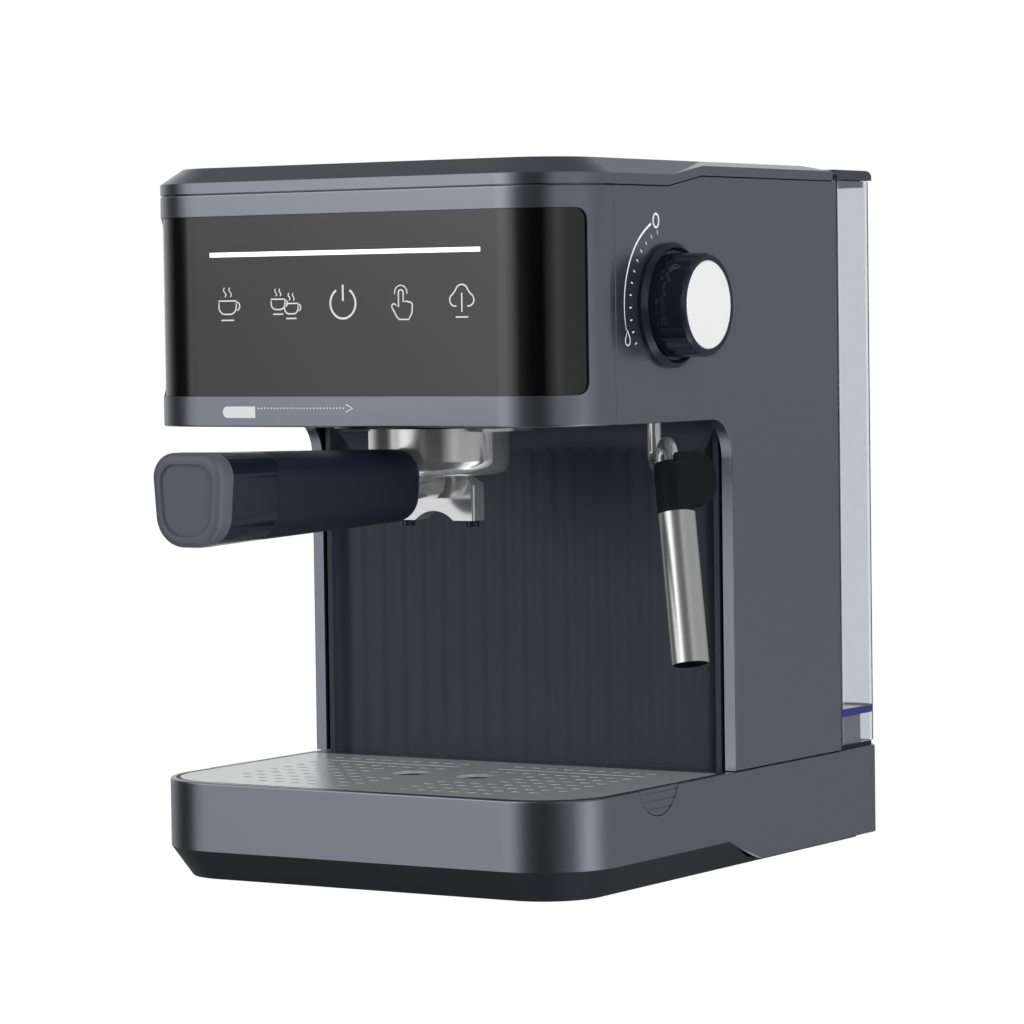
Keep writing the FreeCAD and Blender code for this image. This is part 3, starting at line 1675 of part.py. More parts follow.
def tank_valve():
    """Outlet spigot clamped through the tank floor."""
    profile = [
        (tank_valve_bore, tank_floor_under - tank_valve_drop),
        (tank_valve_radius - seal_ring_radius, tank_floor_under - tank_valve_drop),
        (tank_valve_radius - seal_ring_radius, tank_floor_under),
        (tank_valve_radius, tank_floor_under),
        (tank_valve_radius, tank_floor_top),
        (tank_valve_flange, tank_floor_top),
        (tank_valve_flange, tank_floor_top + tank_valve_flange_height),
        (tank_valve_bore, tank_floor_top + tank_valve_flange_height),
    ]
    return turned(profile, tank_valve_offset, valve_place)


def tank_seal():
    """Ring seal on the spigot."""
    middle = tank_valve_radius - seal_ring_radius + seal_ring_radius + gasket_fit
    center = point(tank_valve_offset, valve_place, tank_floor_under - tank_valve_drop / 2)
    return Part.makeTorus(middle, seal_ring_radius, center, up)


def tank_strainer():
    """Cup-shaped strainer over the outlet."""
    low = tank_floor_top + tank_valve_flange_height
    profile = [
        (strainer_radius - strainer_wall, low),
        (strainer_radius, low),
        (strainer_radius - strainer_wall, low + strainer_height),
        (0, low + strainer_height),
        (0, low + strainer_height - strainer_wall),
        (strainer_radius - 2 * strainer_wall, low + strainer_height - strainer_wall),
    ]
    return turned(profile, tank_valve_offset, valve_place)


def tank_pedestal():
    """Raised seat on a thin plate under the tank, with the socket for its outlet."""
    inset = tank_wall + pedestal_clearance
    corners = tank_corners(inset)
    side = corners[1][0]
    back = tank_back - pedestal_inset - tank_wall
    corners = [
        (-side, tank_front + inset, edge_radius),
        (side, tank_front + inset, edge_radius),
        (side, back, tank_rear_radius),
        (-side, back, tank_rear_radius),
    ]
    high = rim_level + tank_floor_rise
    pedestal = plan_block(corners, rim_level, high)
    pedestal = pedestal.makeFillet(edge_radius, edges_at(pedestal, lambda c: c.z > high - tiny))
    plate = plan_block(tank_corners(shelf_plate_inset), rim_level, tank_bottom - shelf_plate_gap)
    pedestal = pedestal.fuse(plate).removeSplitter()
    pedestal = pedestal.cut(rod(point(tank_valve_offset, valve_place, high - socket_depth), up, socket_radius, 2 * over + socket_depth))
    return pedestal.cut(rod(point(tank_valve_offset, valve_place, rim_level - over), up, hose_bore, tank_floor_rise + 2 * over))


def tank_lid():
    """Lid with a rolled front edge on the hinge axis and a lip inside the tank's mouth."""
    back = tank_back + lid_overhang
    side = tank_half + lid_overhang
    corners = [
        (-side, hinge_place, 0),
        (side, hinge_place, 0),
        (side, back, tank_rear_radius + lid_overhang),
        (-side, back, tank_rear_radius + lid_overhang),
    ]
    lid = plan_block(corners, lid_under, lid_top)
    lid = lid.makeFillet(lid_edge_radius, edges_at(lid, lambda c: c.z > lid_top - tiny and c.y > hinge_place + tiny))
    lip = plan_block(lip_corners(0), lid_under - lid_lip_depth, lid_under)
    lip = lip.cut(plan_block(lip_corners(lid_lip_wall), lid_under - lid_lip_depth - over, lid_under + over))
    rolled_edge = rod(point(-side, hinge_place, hinge_level), rightward, hinge_ear_radius, 2 * side)
    reach = hinge_ear_radius + hinge_ear_gap
    for hand in (-1, 1):
        ends = sorted((hand * (hinge_offset - hinge_ear_gap), hand * (hinge_offset + hinge_ear_length + hinge_ear_gap)))
        notch = box(ends[0], ends[1], tank_front - over, hinge_place + reach, lid_under - over, lid_top + over)
        lid = lid.cut(notch)
        rolled_edge = rolled_edge.cut(notch)
    lid = fused([lid, lip, rolled_edge])
    for hand in (-1, 1):
        lid = lid.cut(pin_rod(hand, hinge_pin_fit))
    return lid


def lip_corners(inset):
    """Plan of the lip that hangs inside the tank's mouth, behind the hinge."""
    draw = tank_wall + lid_lip_gap + inset
    side = tank_half - draw
    radius = max(tank_rear_radius - draw, edge_radius)
    front = hinge_place + hinge_ear_radius + lid_lip_gap + inset
    return [
        (-side, front, edge_radius),
        (side, front, edge_radius),
        (side, tank_back - draw, radius),
        (-side, tank_back - draw, radius),
    ]


def pin_rod(hand, grow):
    start = hinge_offset - hinge_ear_gap - hinge_knuckle_length
    length = hinge_ear_length + 2 * hinge_ear_gap + 2 * hinge_knuckle_length
    return hinge_rod(hand, start - grow * over, length + 2 * grow * over, hinge_pin_radius + grow)


def lid_pins():
    return Part.makeCompound([pin_rod(-1, 0), pin_rod(1, 0)])


# Pump and pipework


def pump():
    """Vibration pump: coil frame round a tube with a nozzle at each end."""
    low = pump_bottom
    high = low + pump_length
    body = rod(point(-pump_side, pump_setback, low), up, pump_radius, pump_length)
    body = body.makeChamfer(edge_radius * 3, body.Edges[0:1] + edges_at(body, lambda c: c.z < low + tiny))
    middle = (low + high) / 2
    half = pump_coil_width / 2
    coil = box(-pump_side - half, -pump_side + half, pump_setback - half + over, pump_setback + half - over,
               middle - pump_coil_height / 2, middle + pump_coil_height / 2)
    inlet = rod(point(-pump_side, pump_setback, low - pump_nozzle_length), up, pump_nozzle_radius, pump_nozzle_length + over)
    outlet = rod(point(-pump_side, pump_setback, high - over), up, pump_nozzle_radius, pump_nozzle_length + over)
    return fused([body, coil, inlet, outlet])


def mount_levels():
    middle = pump_bottom + pump_length / 2
    spread = (pump_length + pump_coil_height) / 4
    return [middle - spread - mount_height / 2, middle + spread - mount_height / 2]


def pump_mounts():
    """Rubber rings that hold the pump in its bracket."""
    mounts = []
    for low in mount_levels():
        inner = pump_radius + mount_fit
        profile = [
            (inner, low),
            (mount_radius, low),
            (mount_radius, low + mount_lip),
            (mount_radius - mount_lip, low + mount_lip),
            (mount_radius - mount_lip, low + mount_lip + bracket_thickness),
            (mount_radius, low + mount_lip + bracket_thickness),
            (mount_radius, low + mount_height),
            (inner, low + mount_height),
        ]
        mounts.append(turned(profile, -pump_side, pump_setback))
    return Part.makeCompound(mounts)


def pump_bracket():
    """Folded sheet bracket: an upright with two holed shelves and a foot."""
    back = pump_setback + bracket_half_depth
    left = -pump_side - bracket_width / 2
    right = left + bracket_width
    front = pump_setback - bracket_half_depth
    levels = [low + mount_lip for low in mount_levels()]
    parts = [
        box(left, right, back - bracket_thickness, back, rim_level, levels[1] + bracket_thickness),
        box(left, right, front, back, rim_level, rim_level + bracket_thickness),
    ]
    for level in levels:
        parts.append(box(left, right, front, back, level, level + bracket_thickness))
    bracket = fused(parts)
    bracket = bracket.cut(rod(point(-pump_side, pump_setback, rim_level - over), up, hose_radius + mount_lip, 4 * over))
    for level in levels:
        bracket = bracket.cut(rod(point(-pump_side, pump_setback, level - over), up,
                                  mount_radius - mount_lip + mount_fit, 3 * over))
    return bracket


def water_hose():
    """Hose from the tank's socket to the pump, through the base."""
    path = bent_path([
        point(tank_valve_offset, valve_place, rim_level),
        point(tank_valve_offset, valve_place, hose_level),
        point(-pump_side, pump_setback, hose_level),
        point(-pump_side, pump_setback, pump_bottom - pump_nozzle_length),
    ], hose_bend)
    return tube(path, hose_radius, hose_bore)


def pressure_hose():
    """High-pressure hose from the pump to the boiler."""
    boiler_top = boiler_base() + boiler_height + boiler_dome + valve_branch_length
    run_level = boiler_top + pipe_rise
    path = bent_path([
        point(-pump_side, pump_setback, pump_bottom + pump_length + pump_nozzle_length),
        point(-pump_side, pump_setback, run_level),
        point(-inlet_side, group_setback, run_level),
        point(-inlet_side, group_setback, boiler_top),
    ], pressure_hose_bend)
    return tube(path, pressure_hose_radius, pressure_bore)


def steam_pipe():
    """Pipe from the boiler up and over to the steam valve."""
    boiler_top = boiler_base() + boiler_height + boiler_dome + valve_branch_length
    run_level = boiler_top + pipe_rise
    valve_top = knob_height + valve_radius + valve_branch_length
    path = bent_path([
        point(inlet_side, group_setback, boiler_top),
        point(inlet_side, group_setback, run_level),
        point(valve_middle(), knob_setback, run_level),
        point(valve_middle(), knob_setback, valve_top),
    ], pressure_hose_bend)
    return tube(path, pressure_hose_radius, pressure_bore)


def wand_feed():
    """Pipe from the valve down to the wand's bush."""
    valve_low = knob_height - valve_radius - valve_branch_length
    bush_top = floor_top + bush_height
    run_level = (valve_low + bush_top) / 2
    path = bent_path([
        point(valve_middle(), knob_setback, valve_low),
        point(valve_middle(), knob_setback, run_level),
        point(wand_pivot_side, wand_pivot_setback, run_level),
        point(wand_pivot_side, wand_pivot_setback, bush_top),
    ], wand_bend_radius / 2)
    return tube(path, pressure_hose_radius, pressure_bore)


pieces = [
    base_shell, base_pan, rubber_feet, pan_screws, cord_gland,
    drip_tray, drip_grid,
    left_side_panel, right_side_panel, splash_panel, rear_panel,
    head_bezel, touch_panel, light_bar, touch_springs, control_board, top_cover, head_floor,
    bayonet_collar, group_head, group_gasket, shower_screen, shower_screw,
    boiler, boiler_screws, thermostats,
    portafilter_bowl, filter_basket, spout_yoke, spout_tips,
    handle_grip, handle_collar, handle_end_cap, handle_stud,
    knob_body, knob_insert, dial_ring, valve_spindle, steam_valve, valve_nut,
    wand_pipe, wand_grip, frother_sleeve, wand_nozzle, wand_bush,
    water_tank, tank_band, tank_valve, tank_seal, tank_strainer, tank_pedestal, tank_lid, lid_pins,
    pump, pump_mounts, pump_bracket, water_hose, pressure_hose, steam_pipe, wand_feed,
]


def build():
    """All pieces by name, and the move that puts the footprint's middle at the origin."""
    shapes = {piece.__name__: piece() for piece in pieces}
    whole = FreeCAD.BoundBox()
    for shape in shapes.values():
        whole.add(shape.optimalBoundingBox())
    move = point(-whole.Center.x, -whole.Center.y, -whole.ZMin)
    return shapes, move


def main():
    shapes, move = build()
    os.makedirs("parts", exist_ok=True)
    for name, shape in shapes.items():
        placed = shape.translated(move)
        placed.exportStep(os.path.join("parts", name + ".step"))
    return shapes, move


if __name__ == "__main__":
    main()
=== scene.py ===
"""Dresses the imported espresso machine: finishes, printed marks, studio light and camera."""

import logging
import math
from collections.abc import Callable
from dataclasses import dataclass, field
from enum import Enum
from functools import cache

import bpy
from mathutils import Matrix, Vector


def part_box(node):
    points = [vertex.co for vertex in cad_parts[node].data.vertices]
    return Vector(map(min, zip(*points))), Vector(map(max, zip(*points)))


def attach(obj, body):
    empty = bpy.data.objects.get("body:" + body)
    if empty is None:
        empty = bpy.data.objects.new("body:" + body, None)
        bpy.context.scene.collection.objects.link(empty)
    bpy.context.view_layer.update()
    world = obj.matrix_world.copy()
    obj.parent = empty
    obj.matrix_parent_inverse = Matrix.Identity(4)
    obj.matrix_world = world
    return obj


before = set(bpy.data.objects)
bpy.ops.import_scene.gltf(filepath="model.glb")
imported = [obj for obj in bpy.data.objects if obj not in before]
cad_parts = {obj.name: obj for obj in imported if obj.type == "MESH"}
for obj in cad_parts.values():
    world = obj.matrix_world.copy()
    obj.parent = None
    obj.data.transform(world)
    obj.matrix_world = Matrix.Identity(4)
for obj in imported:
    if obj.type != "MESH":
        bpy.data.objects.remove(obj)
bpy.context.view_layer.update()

MM = 0.001
WHITE = "#FFFFFF"
# The sRGB curve: a straight foot up to the knee, then a power.
SRGB_KNEE = 0.04045
SRGB_SLOPE = 12.92
SRGB_OFFSET = 0.055
SRGB_POWER = 2.4
# Most values of a noise lie between these two.
NOISE_LOW = 0.3
NOISE_HIGH = 0.7
# Sockets of a mix node that mixes colours, which share their names with those for numbers.
MIX_FACTOR = 0
MIX_FIRST = 6
MIX_SECOND = 7
MIX_RESULT = 2
log = logging.getLogger("espresso_machine")

Point2 = tuple[float, float]
Point3 = tuple[float, float, float]
Colour = tuple[float, float, float, float]
Span = tuple[float, float]
Lights = tuple[tuple[float, float], ...]


class Lay(Enum):
    """Ways in which the tool marks of a metal run."""

    PLAIN = "plain"
    SPUN = "spun"


def linear(hex_code: str) -> Colour:
    """Turns an sRGB hex colour into linear values.

    Args:
        hex_code: Six hex digits, with or without a leading hash.

    Returns:
        Linear red, green and blue, and a full alpha.
    """
    digits = hex_code.lstrip("#")
    values = []
    for start in (0, 2, 4):
        share = int(digits[start:start + 2], 16) / 255
        if share <= SRGB_KNEE:
            values.append(share / SRGB_SLOPE)
        else:
            values.append(((share + SRGB_OFFSET) / (1 + SRGB_OFFSET)) ** SRGB_POWER)
    return (values[0], values[1], values[2], 1.0)


def add_node(tree: bpy.types.NodeTree, kind: str, settings: dict | None = None,
             links: dict | None = None) -> bpy.types.Node:
    """Adds one node with its settings and its incoming links.

    Args:
        tree: Node tree that takes the node.
        kind: Blender's name of the node type.
        settings: Property names, or input names, with their values.
        links: Input names or numbers with the output sockets that feed them.

    Returns:
        The new node.
    """
    node = tree.nodes.new(kind)
    for name, value in (settings or {}).items():
        if name in node.inputs:
            node.inputs[name].default_value = value
        else:
            setattr(node, name, value)
    for name, socket in (links or {}).items():
        tree.links.new(socket, node.inputs[name])
    return node


@dataclass(frozen=True)
class Grain:
    """Fine relief or streaks on a finish, sized in millimetres."""

    size: Point3 = (1.0, 1.0, 1.0)
    bump: float = 0.0
    bump_height: float = 0.05
    rough_low: float = 0.0
    rough_high: float = 0.0
    detail: float = 2.0


@dataclass(frozen=True)
class Finish:
    """One real material with the way its surface was made."""

    name: str
    colour: str
    roughness: float
    metallic: float = 0.0
    ior: float = 1.5
    transmission: float = 0.0
    glow: float = 0.0
    anisotropy: float = 0.0
    lay: Lay = Lay.PLAIN
    grain: Grain | None = None

    def build(self) -> bpy.types.Material:
        """Makes the material.

        Returns:
            A node material with one principled shader.
        """
        material = bpy.data.materials.new(self.name)
        material.use_nodes = True
        tree = material.node_tree
        tree.nodes.clear()
        settings = {
            "Base Color": linear(self.colour),
            "Roughness": self.roughness,
            "Metallic": self.metallic,
            "Transmission Weight": self.transmission,
            "Anisotropic": self.anisotropy,
        }
        if self.metallic < 1:
            settings["IOR"] = self.ior
        if self.glow:
            settings["Emission Color"] = linear(self.colour)
            settings["Emission Strength"] = self.glow
        shader = add_node(tree, "ShaderNodeBsdfPrincipled", settings)
        if self.lay is Lay.SPUN:
            rings = add_node(tree, "ShaderNodeTangent", {"direction_type": "RADIAL", "axis": "X"})
            tree.links.new(rings.outputs["Tangent"], shader.inputs["Tangent"])
        if self.grain:
            self._add_grain(tree, shader)
        add_node(tree, "ShaderNodeOutputMaterial", links={"Surface": shader.outputs["BSDF"]})
        return material

    def _add_grain(self, tree: bpy.types.NodeTree, shader: bpy.types.Node) -> None:
        """Feeds a noise, scaled from real sizes, to the relief and the roughness.

        Args:
            tree: Node tree of the material.
            shader: Its principled shader.
        """
        grain = self.grain
        place = add_node(tree, "ShaderNodeTexCoord")
        scale = [1 / (length * MM) for length in grain.size]
        spread = add_node(tree, "ShaderNodeMapping", {"Scale": scale},
                          {"Vector": place.outputs["Object"]})
        noise = add_node(tree, "ShaderNodeTexNoise", {"Scale": 1.0, "Detail": grain.detail},
                         {"Vector": spread.outputs["Vector"]})
        if grain.rough_high > grain.rough_low:
            spread_rough = add_node(
                tree, "ShaderNodeMapRange",
                {"From Min": NOISE_LOW, "From Max": NOISE_HIGH,
                 "To Min": grain.rough_low, "To Max": grain.rough_high},
                {"Value": noise.outputs["Fac"]})
            tree.links.new(spread_rough.outputs["Result"], shader.inputs["Roughness"])
        if grain.bump:
            relief = add_node(tree, "ShaderNodeBump",
                              {"Strength": grain.bump, "Distance": grain.bump_height * MM},
                              {"Height": noise.outputs["Fac"]})
            tree.links.new(relief.outputs["Normal"], shader.inputs["Normal"])


# Sprayed metallic lacquer: it mirrors the soft lights as broad bands, with a very fine sparkle.
SHELL_PAINT = Finish("sprayed_metallic_lacquer", "#8D919C", 0.25, metallic=0.93,
                     grain=Grain((0.6, 0.6, 0.6), rough_low=0.24, rough_high=0.27))
# Moulded ABS with spark-eroded texture: dull and dark. The same finish is painted shade on the
# thin plate of the tank's seat, for the shadowed gap under the tank.
DARK_ABS_AND_PAINTED_SHADE = Finish("textured_moulded_abs_and_painted_shade", "#171B26", 0.50,
                  grain=Grain((0.7, 0.7, 0.7), bump=0.25, bump_height=0.04))
# Satin painted ABS of the tank's lid: dark grey with a soft sheen.
LID_PLASTIC = Finish("satin_painted_abs", "#393C45", 0.40)
# Moulded polypropylene of the splash wall: dark with a slight sheen on its ribs.
SPLASH_PLASTIC = Finish("moulded_polypropylene", "#262C3B", 0.44)
# Soft-feel moulded grip: a dark, even, dull surface.
GRIP_PLASTIC = Finish("soft_feel_moulded_grip", "#171C2B", 0.45,
                      grain=Grain((0.5, 0.5, 0.5), bump=0.15, bump_height=0.03))
# Polished ABS: nearly black with sharp highlights.
GLOSS_BLACK = Finish("polished_black_abs", "#171C2A", 0.12)
# Satin ABS of the handle's end: a grey face.
END_CAP_PLASTIC = Finish("satin_moulded_abs", "#545863", 0.32)
# Back-painted glass of the touch panel: deep black under a bright, clear face.
PANEL_GLASS = Finish("back_painted_glass", "#060606", 0.12, ior=1.9)
# Nickel-chrome plating on a cast piece: bright, with slightly softened reflections.
CHROME = Finish("bright_chrome_plating", "#F2F2F3", 0.12, metallic=0.84,
                grain=Grain((0.8, 0.8, 0.8), bump=0.05, bump_height=0.02))
# Steel drawn to a satin: highlights with soft edges.
SATIN_STEEL = Finish("satin_drawn_steel", "#DADADA", 0.24, metallic=0.86)
# Painted shade for the bore of the open frother sleeve: a dark, dull steel colour in place of the
# shadow inside the tube.
SLEEVE_BORE_PAINTED_SHADE = Finish("painted_shade_sleeve_bore", "#1C1C1E", 0.60, metallic=0.5)
# Pressed steel sheet of the drip grid, satin on top.
GRID_STEEL = Finish("pressed_stainless_sheet", "#ECEDEE", 0.30, metallic=0.6)
# Spun aluminium: fine rings that spread the light into two bright fans.
SPUN_ALUMINIUM = Finish("spun_aluminium", WHITE, 0.32, metallic=0.25,
                        anisotropy=0.8, lay=Lay.SPUN)
# Cast aluminium: grey and dull.
CAST_ALUMINIUM = Finish("cast_aluminium", "#A9AAAC", 0.50, metallic=1.0)
# Turned brass: warm, with a soft shine.
TURNED_BRASS = Finish("turned_brass", "#C9A355", 0.30, metallic=1.0)
# Moulded rubber: black and dull.
RUBBER = Finish("moulded_rubber", "#101114", 0.58, ior=1.4)
# Clear moulded SAN: faintly grey, a little hazy.
CLEAR_SAN = Finish("clear_moulded_san", "#E0E3E8", 0.08, ior=1.45, transmission=1.0)
# Tinted SAN strip at the tank's floor.
BLUE_SAN = Finish("tinted_moulded_san", "#272E78", 0.25)
# Grey moulded seat under the tank.
SEAT_PLASTIC = Finish("grey_moulded_abs", "#53585F", 0.45)
# Milky polycarbonate light guide, lit from behind.
LIGHT_GUIDE = Finish("milky_polycarbonate", WHITE, 0.40, glow=1.0)
# Screen-printed white ink: flat and dull, with a faint painted glow that brightens it whatever
# light falls on it.
PRINT_INK_WITH_PAINTED_GLOW = Finish("screen_printed_white_ink_painted_glow", "#E9E9EA", 0.55, glow=0.12)
# Glass-fibre circuit board.
BOARD = Finish("lacquered_glass_fibre", "#1F4A36", 0.35)


@cache
def material_of(finish: Finish) -> bpy.types.Material:
    """Material of a finish, made once."""
    return finish.build()


def paint(node: str, finish: Finish) -> None:
    """Gives one solid piece its finish.

    Args:
        node: Name of the solid piece.
        finish: Finish that covers all of it.
    """
    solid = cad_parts[node]
    solid.data.materials.clear()
    solid.data.materials.append(material_of(finish))
    log.info("painted %s with %s", node, finish.name)


def paint_faces(node: str, finish: Finish, test: Callable[[Vector], bool]) -> None:
    """Gives some faces of a painted piece a second finish.

    Args:
        node: Name of the solid piece.
        finish: Finish of the chosen faces.
        test: Tells from a face's middle, in the shared frame, if it is chosen.
    """
    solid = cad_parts[node]
    solid.data.materials.append(material_of(finish))
    second = len(solid.data.materials) - 1
    for polygon in solid.data.polygons:
        if test(solid.matrix_world @ polygon.center):
            polygon.material_index = second
    log.info("painted faces of %s with %s", node, finish.name)


@dataclass(frozen=True)
class Canvas:
    """Flat place in space on which marks are drawn in millimetres."""

    origin: Vector
    across: Vector
    upward: Vector
    outward: Vector

    def lift(self, u: float, v: float, height: float) -> Vector:
        """Point in space of a place on the canvas, raised by a height in millimetres."""
        return self.origin + (self.across * u + self.upward * v + self.outward * height) * MM


@dataclass
class Mark:
    """One printed mark: strokes and filled shapes in millimetres."""

    name: str
    strokes: list[tuple[list[Point2], list[float], bool]] = field(default_factory=list)
    fills: list[list[Point2]] = field(default_factory=list)

    def line(self, points: list[Point2], width: float, closed: bool = False) -> None:
        """Adds a stroke of even width."""
        self.strokes.append((points, [width] * len(points), closed))

    def taper(self, points: list[Point2], first: float, last: float) -> None:
        """Adds a stroke whose width changes evenly along it."""
        steps = len(points) - 1
        widths = [first + (last - first) * i / steps for i in range(steps + 1)]
        self.strokes.append((points, widths, False))

    def fill(self, points: list[Point2]) -> None:
        """Adds a filled convex shape."""
        self.fills.append(points)


def arc(u: float, v: float, radius: float, start: float, end: float,
        steps: int) -> list[Point2]:
    """Points along an arc.

    Args:
        u: Centre across.
        v: Centre up.
        radius: Radius of the arc.
        start: First angle in degrees, from the across direction.
        end: Last angle in degrees.
        steps: Number of straight pieces.

    Returns:
        The points, first to last.
    """
    points = []
    for index in range(steps + 1):
        turn = math.radians(start + (end - start) * index / steps)
        points.append((u + radius * math.cos(turn), v + radius * math.sin(turn)))
    return points


@dataclass
class Printer:
    """Turns marks into thin solid prints that ride on a body."""

    ink: Finish = PRINT_INK_WITH_PAINTED_GLOW
    body: str = "machine"
    thickness: float = 0.05
    sink: float = 0.03

    def _ribbon(self, canvas: Canvas, points: list[Point2], widths: list[float], closed: bool,
                vertices: list[Vector], faces: list[tuple[int, ...]]) -> None:
        """Adds one stroke as a closed flat bar that follows its points.

        Args:
            canvas: Place of the print.
            points: Middle line of the stroke.
            widths: Width at each point.
            closed: True if the stroke ends where it starts.
            vertices: List that takes the new vertices.
            faces: List that takes the new faces.
        """
        count = len(points)
        first = len(vertices)
        for index, (u, v) in enumerate(points):
            before = points[index - 1] if index or closed else points[index]
            after = points[(index + 1) % count] if index < count - 1 or closed else points[index]
            along = Vector((after[0] - before[0], after[1] - before[1])).normalized()
            side = Vector((-along.y, along.x)) * widths[index] / 2
            for height in (self.thickness, -self.sink):
                vertices.append(canvas.lift(u + side.x, v + side.y, height))
                vertices.append(canvas.lift(u - side.x, v - side.y, height))
        rings = count if closed else count - 1
        for index in range(rings):
            a = first + 4 * index
            b = first + 4 * ((index + 1) % count)
            faces.extend([(a, a + 1, b + 1, b), (a + 2, b + 2, b + 3, a + 3),
                          (a, b, b + 2, a + 2), (a + 1, a + 3, b + 3, b + 1)])
        if not closed:
            last = first + 4 * (count - 1)
            faces.extend([(first, first + 2, first + 3, first + 1),
                          (last, last + 1, last + 3, last + 2)])

    def _patch(self, canvas: Canvas, points: list[Point2], vertices: list[Vector],
               faces: list[tuple[int, ...]]) -> None:
        """Adds one filled shape as a thin plate.

        Args:
            canvas: Place of the print.
            points: Outline, anticlockwise.
            vertices: List that takes the new vertices.
            faces: List that takes the new faces.
        """
        count = len(points)
        first = len(vertices)
        for height in (self.thickness, -self.sink):
            vertices.extend(canvas.lift(u, v, height) for u, v in points)
        faces.append(tuple(range(first, first + count)))
        faces.append(tuple(range(first + 2 * count - 1, first + count - 1, -1)))
        for index in range(count):
            ahead = (index + 1) % count
            faces.append((first + index, first + count + index,
                          first + count + ahead, first + ahead))

    def draw(self, mark: Mark, canvas: Canvas) -> None:
        """Builds the print of one mark, which rides on the printer's body.

        Args:
            mark: Strokes and shapes to print.
            canvas: Place of the print.
        """
        vertices: list[Vector] = []
        faces: list[tuple[int, ...]] = []
        for points, widths, closed in mark.strokes:
            self._ribbon(canvas, points, widths, closed, vertices, faces)
        for points in mark.fills:
            self._patch(canvas, points, vertices, faces)
        mesh = bpy.data.meshes.new(mark.name)
        mesh.from_pydata(vertices, [], faces)
        mesh.materials.append(material_of(self.ink))
        mesh.validate()
        print_object = bpy.data.objects.new(mark.name, mesh)
        bpy.context.scene.collection.objects.link(print_object)
        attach(print_object, self.body)
        log.info("printed %s", mark.name)


class SubAssembly:
    """Pieces that are made and finished together."""

    def finishes(self) -> dict[Finish, list[str]]:
        """Names of the solid pieces under each finish."""
        raise NotImplementedError

    def dress(self) -> None:
        """Gives every solid piece its finish."""
        for finish, nodes in self.finishes().items():
            for node in nodes:
                paint(node, finish)


def front_middle() -> Vector:
    """Middle of the body's front face on the floor."""
    low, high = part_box("base_shell")
    return Vector(((low.x + high.x) / 2, low.y, 0))


def front_canvas(node: str) -> Canvas:
    """Front of a piece of the head, measured from the head's lower edge up."""
    face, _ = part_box(node)
    edge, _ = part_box("head_bezel")
    return Canvas(Vector((front_middle().x, face.y, edge.z)),
                  Vector((1, 0, 0)), Vector((0, 0, 1)), Vector((0, -1, 0)))


@dataclass
class Base(SubAssembly):
    """Painted base shell on its dark pan and feet."""

    def finishes(self) -> dict[Finish, list[str]]:
        """Names of the solid pieces under each finish."""
        return {
            SHELL_PAINT: ["base_shell"],
            DARK_ABS_AND_PAINTED_SHADE: ["base_pan", "cord_gland"],
            RUBBER: ["rubber_feet"],
            SATIN_STEEL: ["pan_screws"],
        }


@dataclass
class DripTray(SubAssembly):
    """Drip tray with painted finger tabs, and its steel grid."""

    rim_setback: float = 2.7

    def finishes(self) -> dict[Finish, list[str]]:
        """Names of the solid pieces under each finish."""
        return {DARK_ABS_AND_PAINTED_SHADE: ["drip_tray"], GRID_STEEL: ["drip_grid"]}

    def dress(self) -> None:
        """Finishes the tray and paints its tabs, which stand out past its rim."""
        super().dress()
        low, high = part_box("base_shell")
        middle = (low.x + high.x) / 2
        reach = (high.x - low.x) / 2 - self.rim_setback * MM
        paint_faces("drip_tray", SHELL_PAINT, lambda spot: abs(spot.x - middle) > reach)


@dataclass
class BodyShell(SubAssembly):
    """Side panels, splash wall, rear panel and top cover."""

    def finishes(self) -> dict[Finish, list[str]]:
        """Names of the solid pieces under each finish."""
        return {
            SHELL_PAINT: ["left_side_panel", "right_side_panel", "rear_panel", "top_cover"],
            SPLASH_PLASTIC: ["splash_panel"],
        }


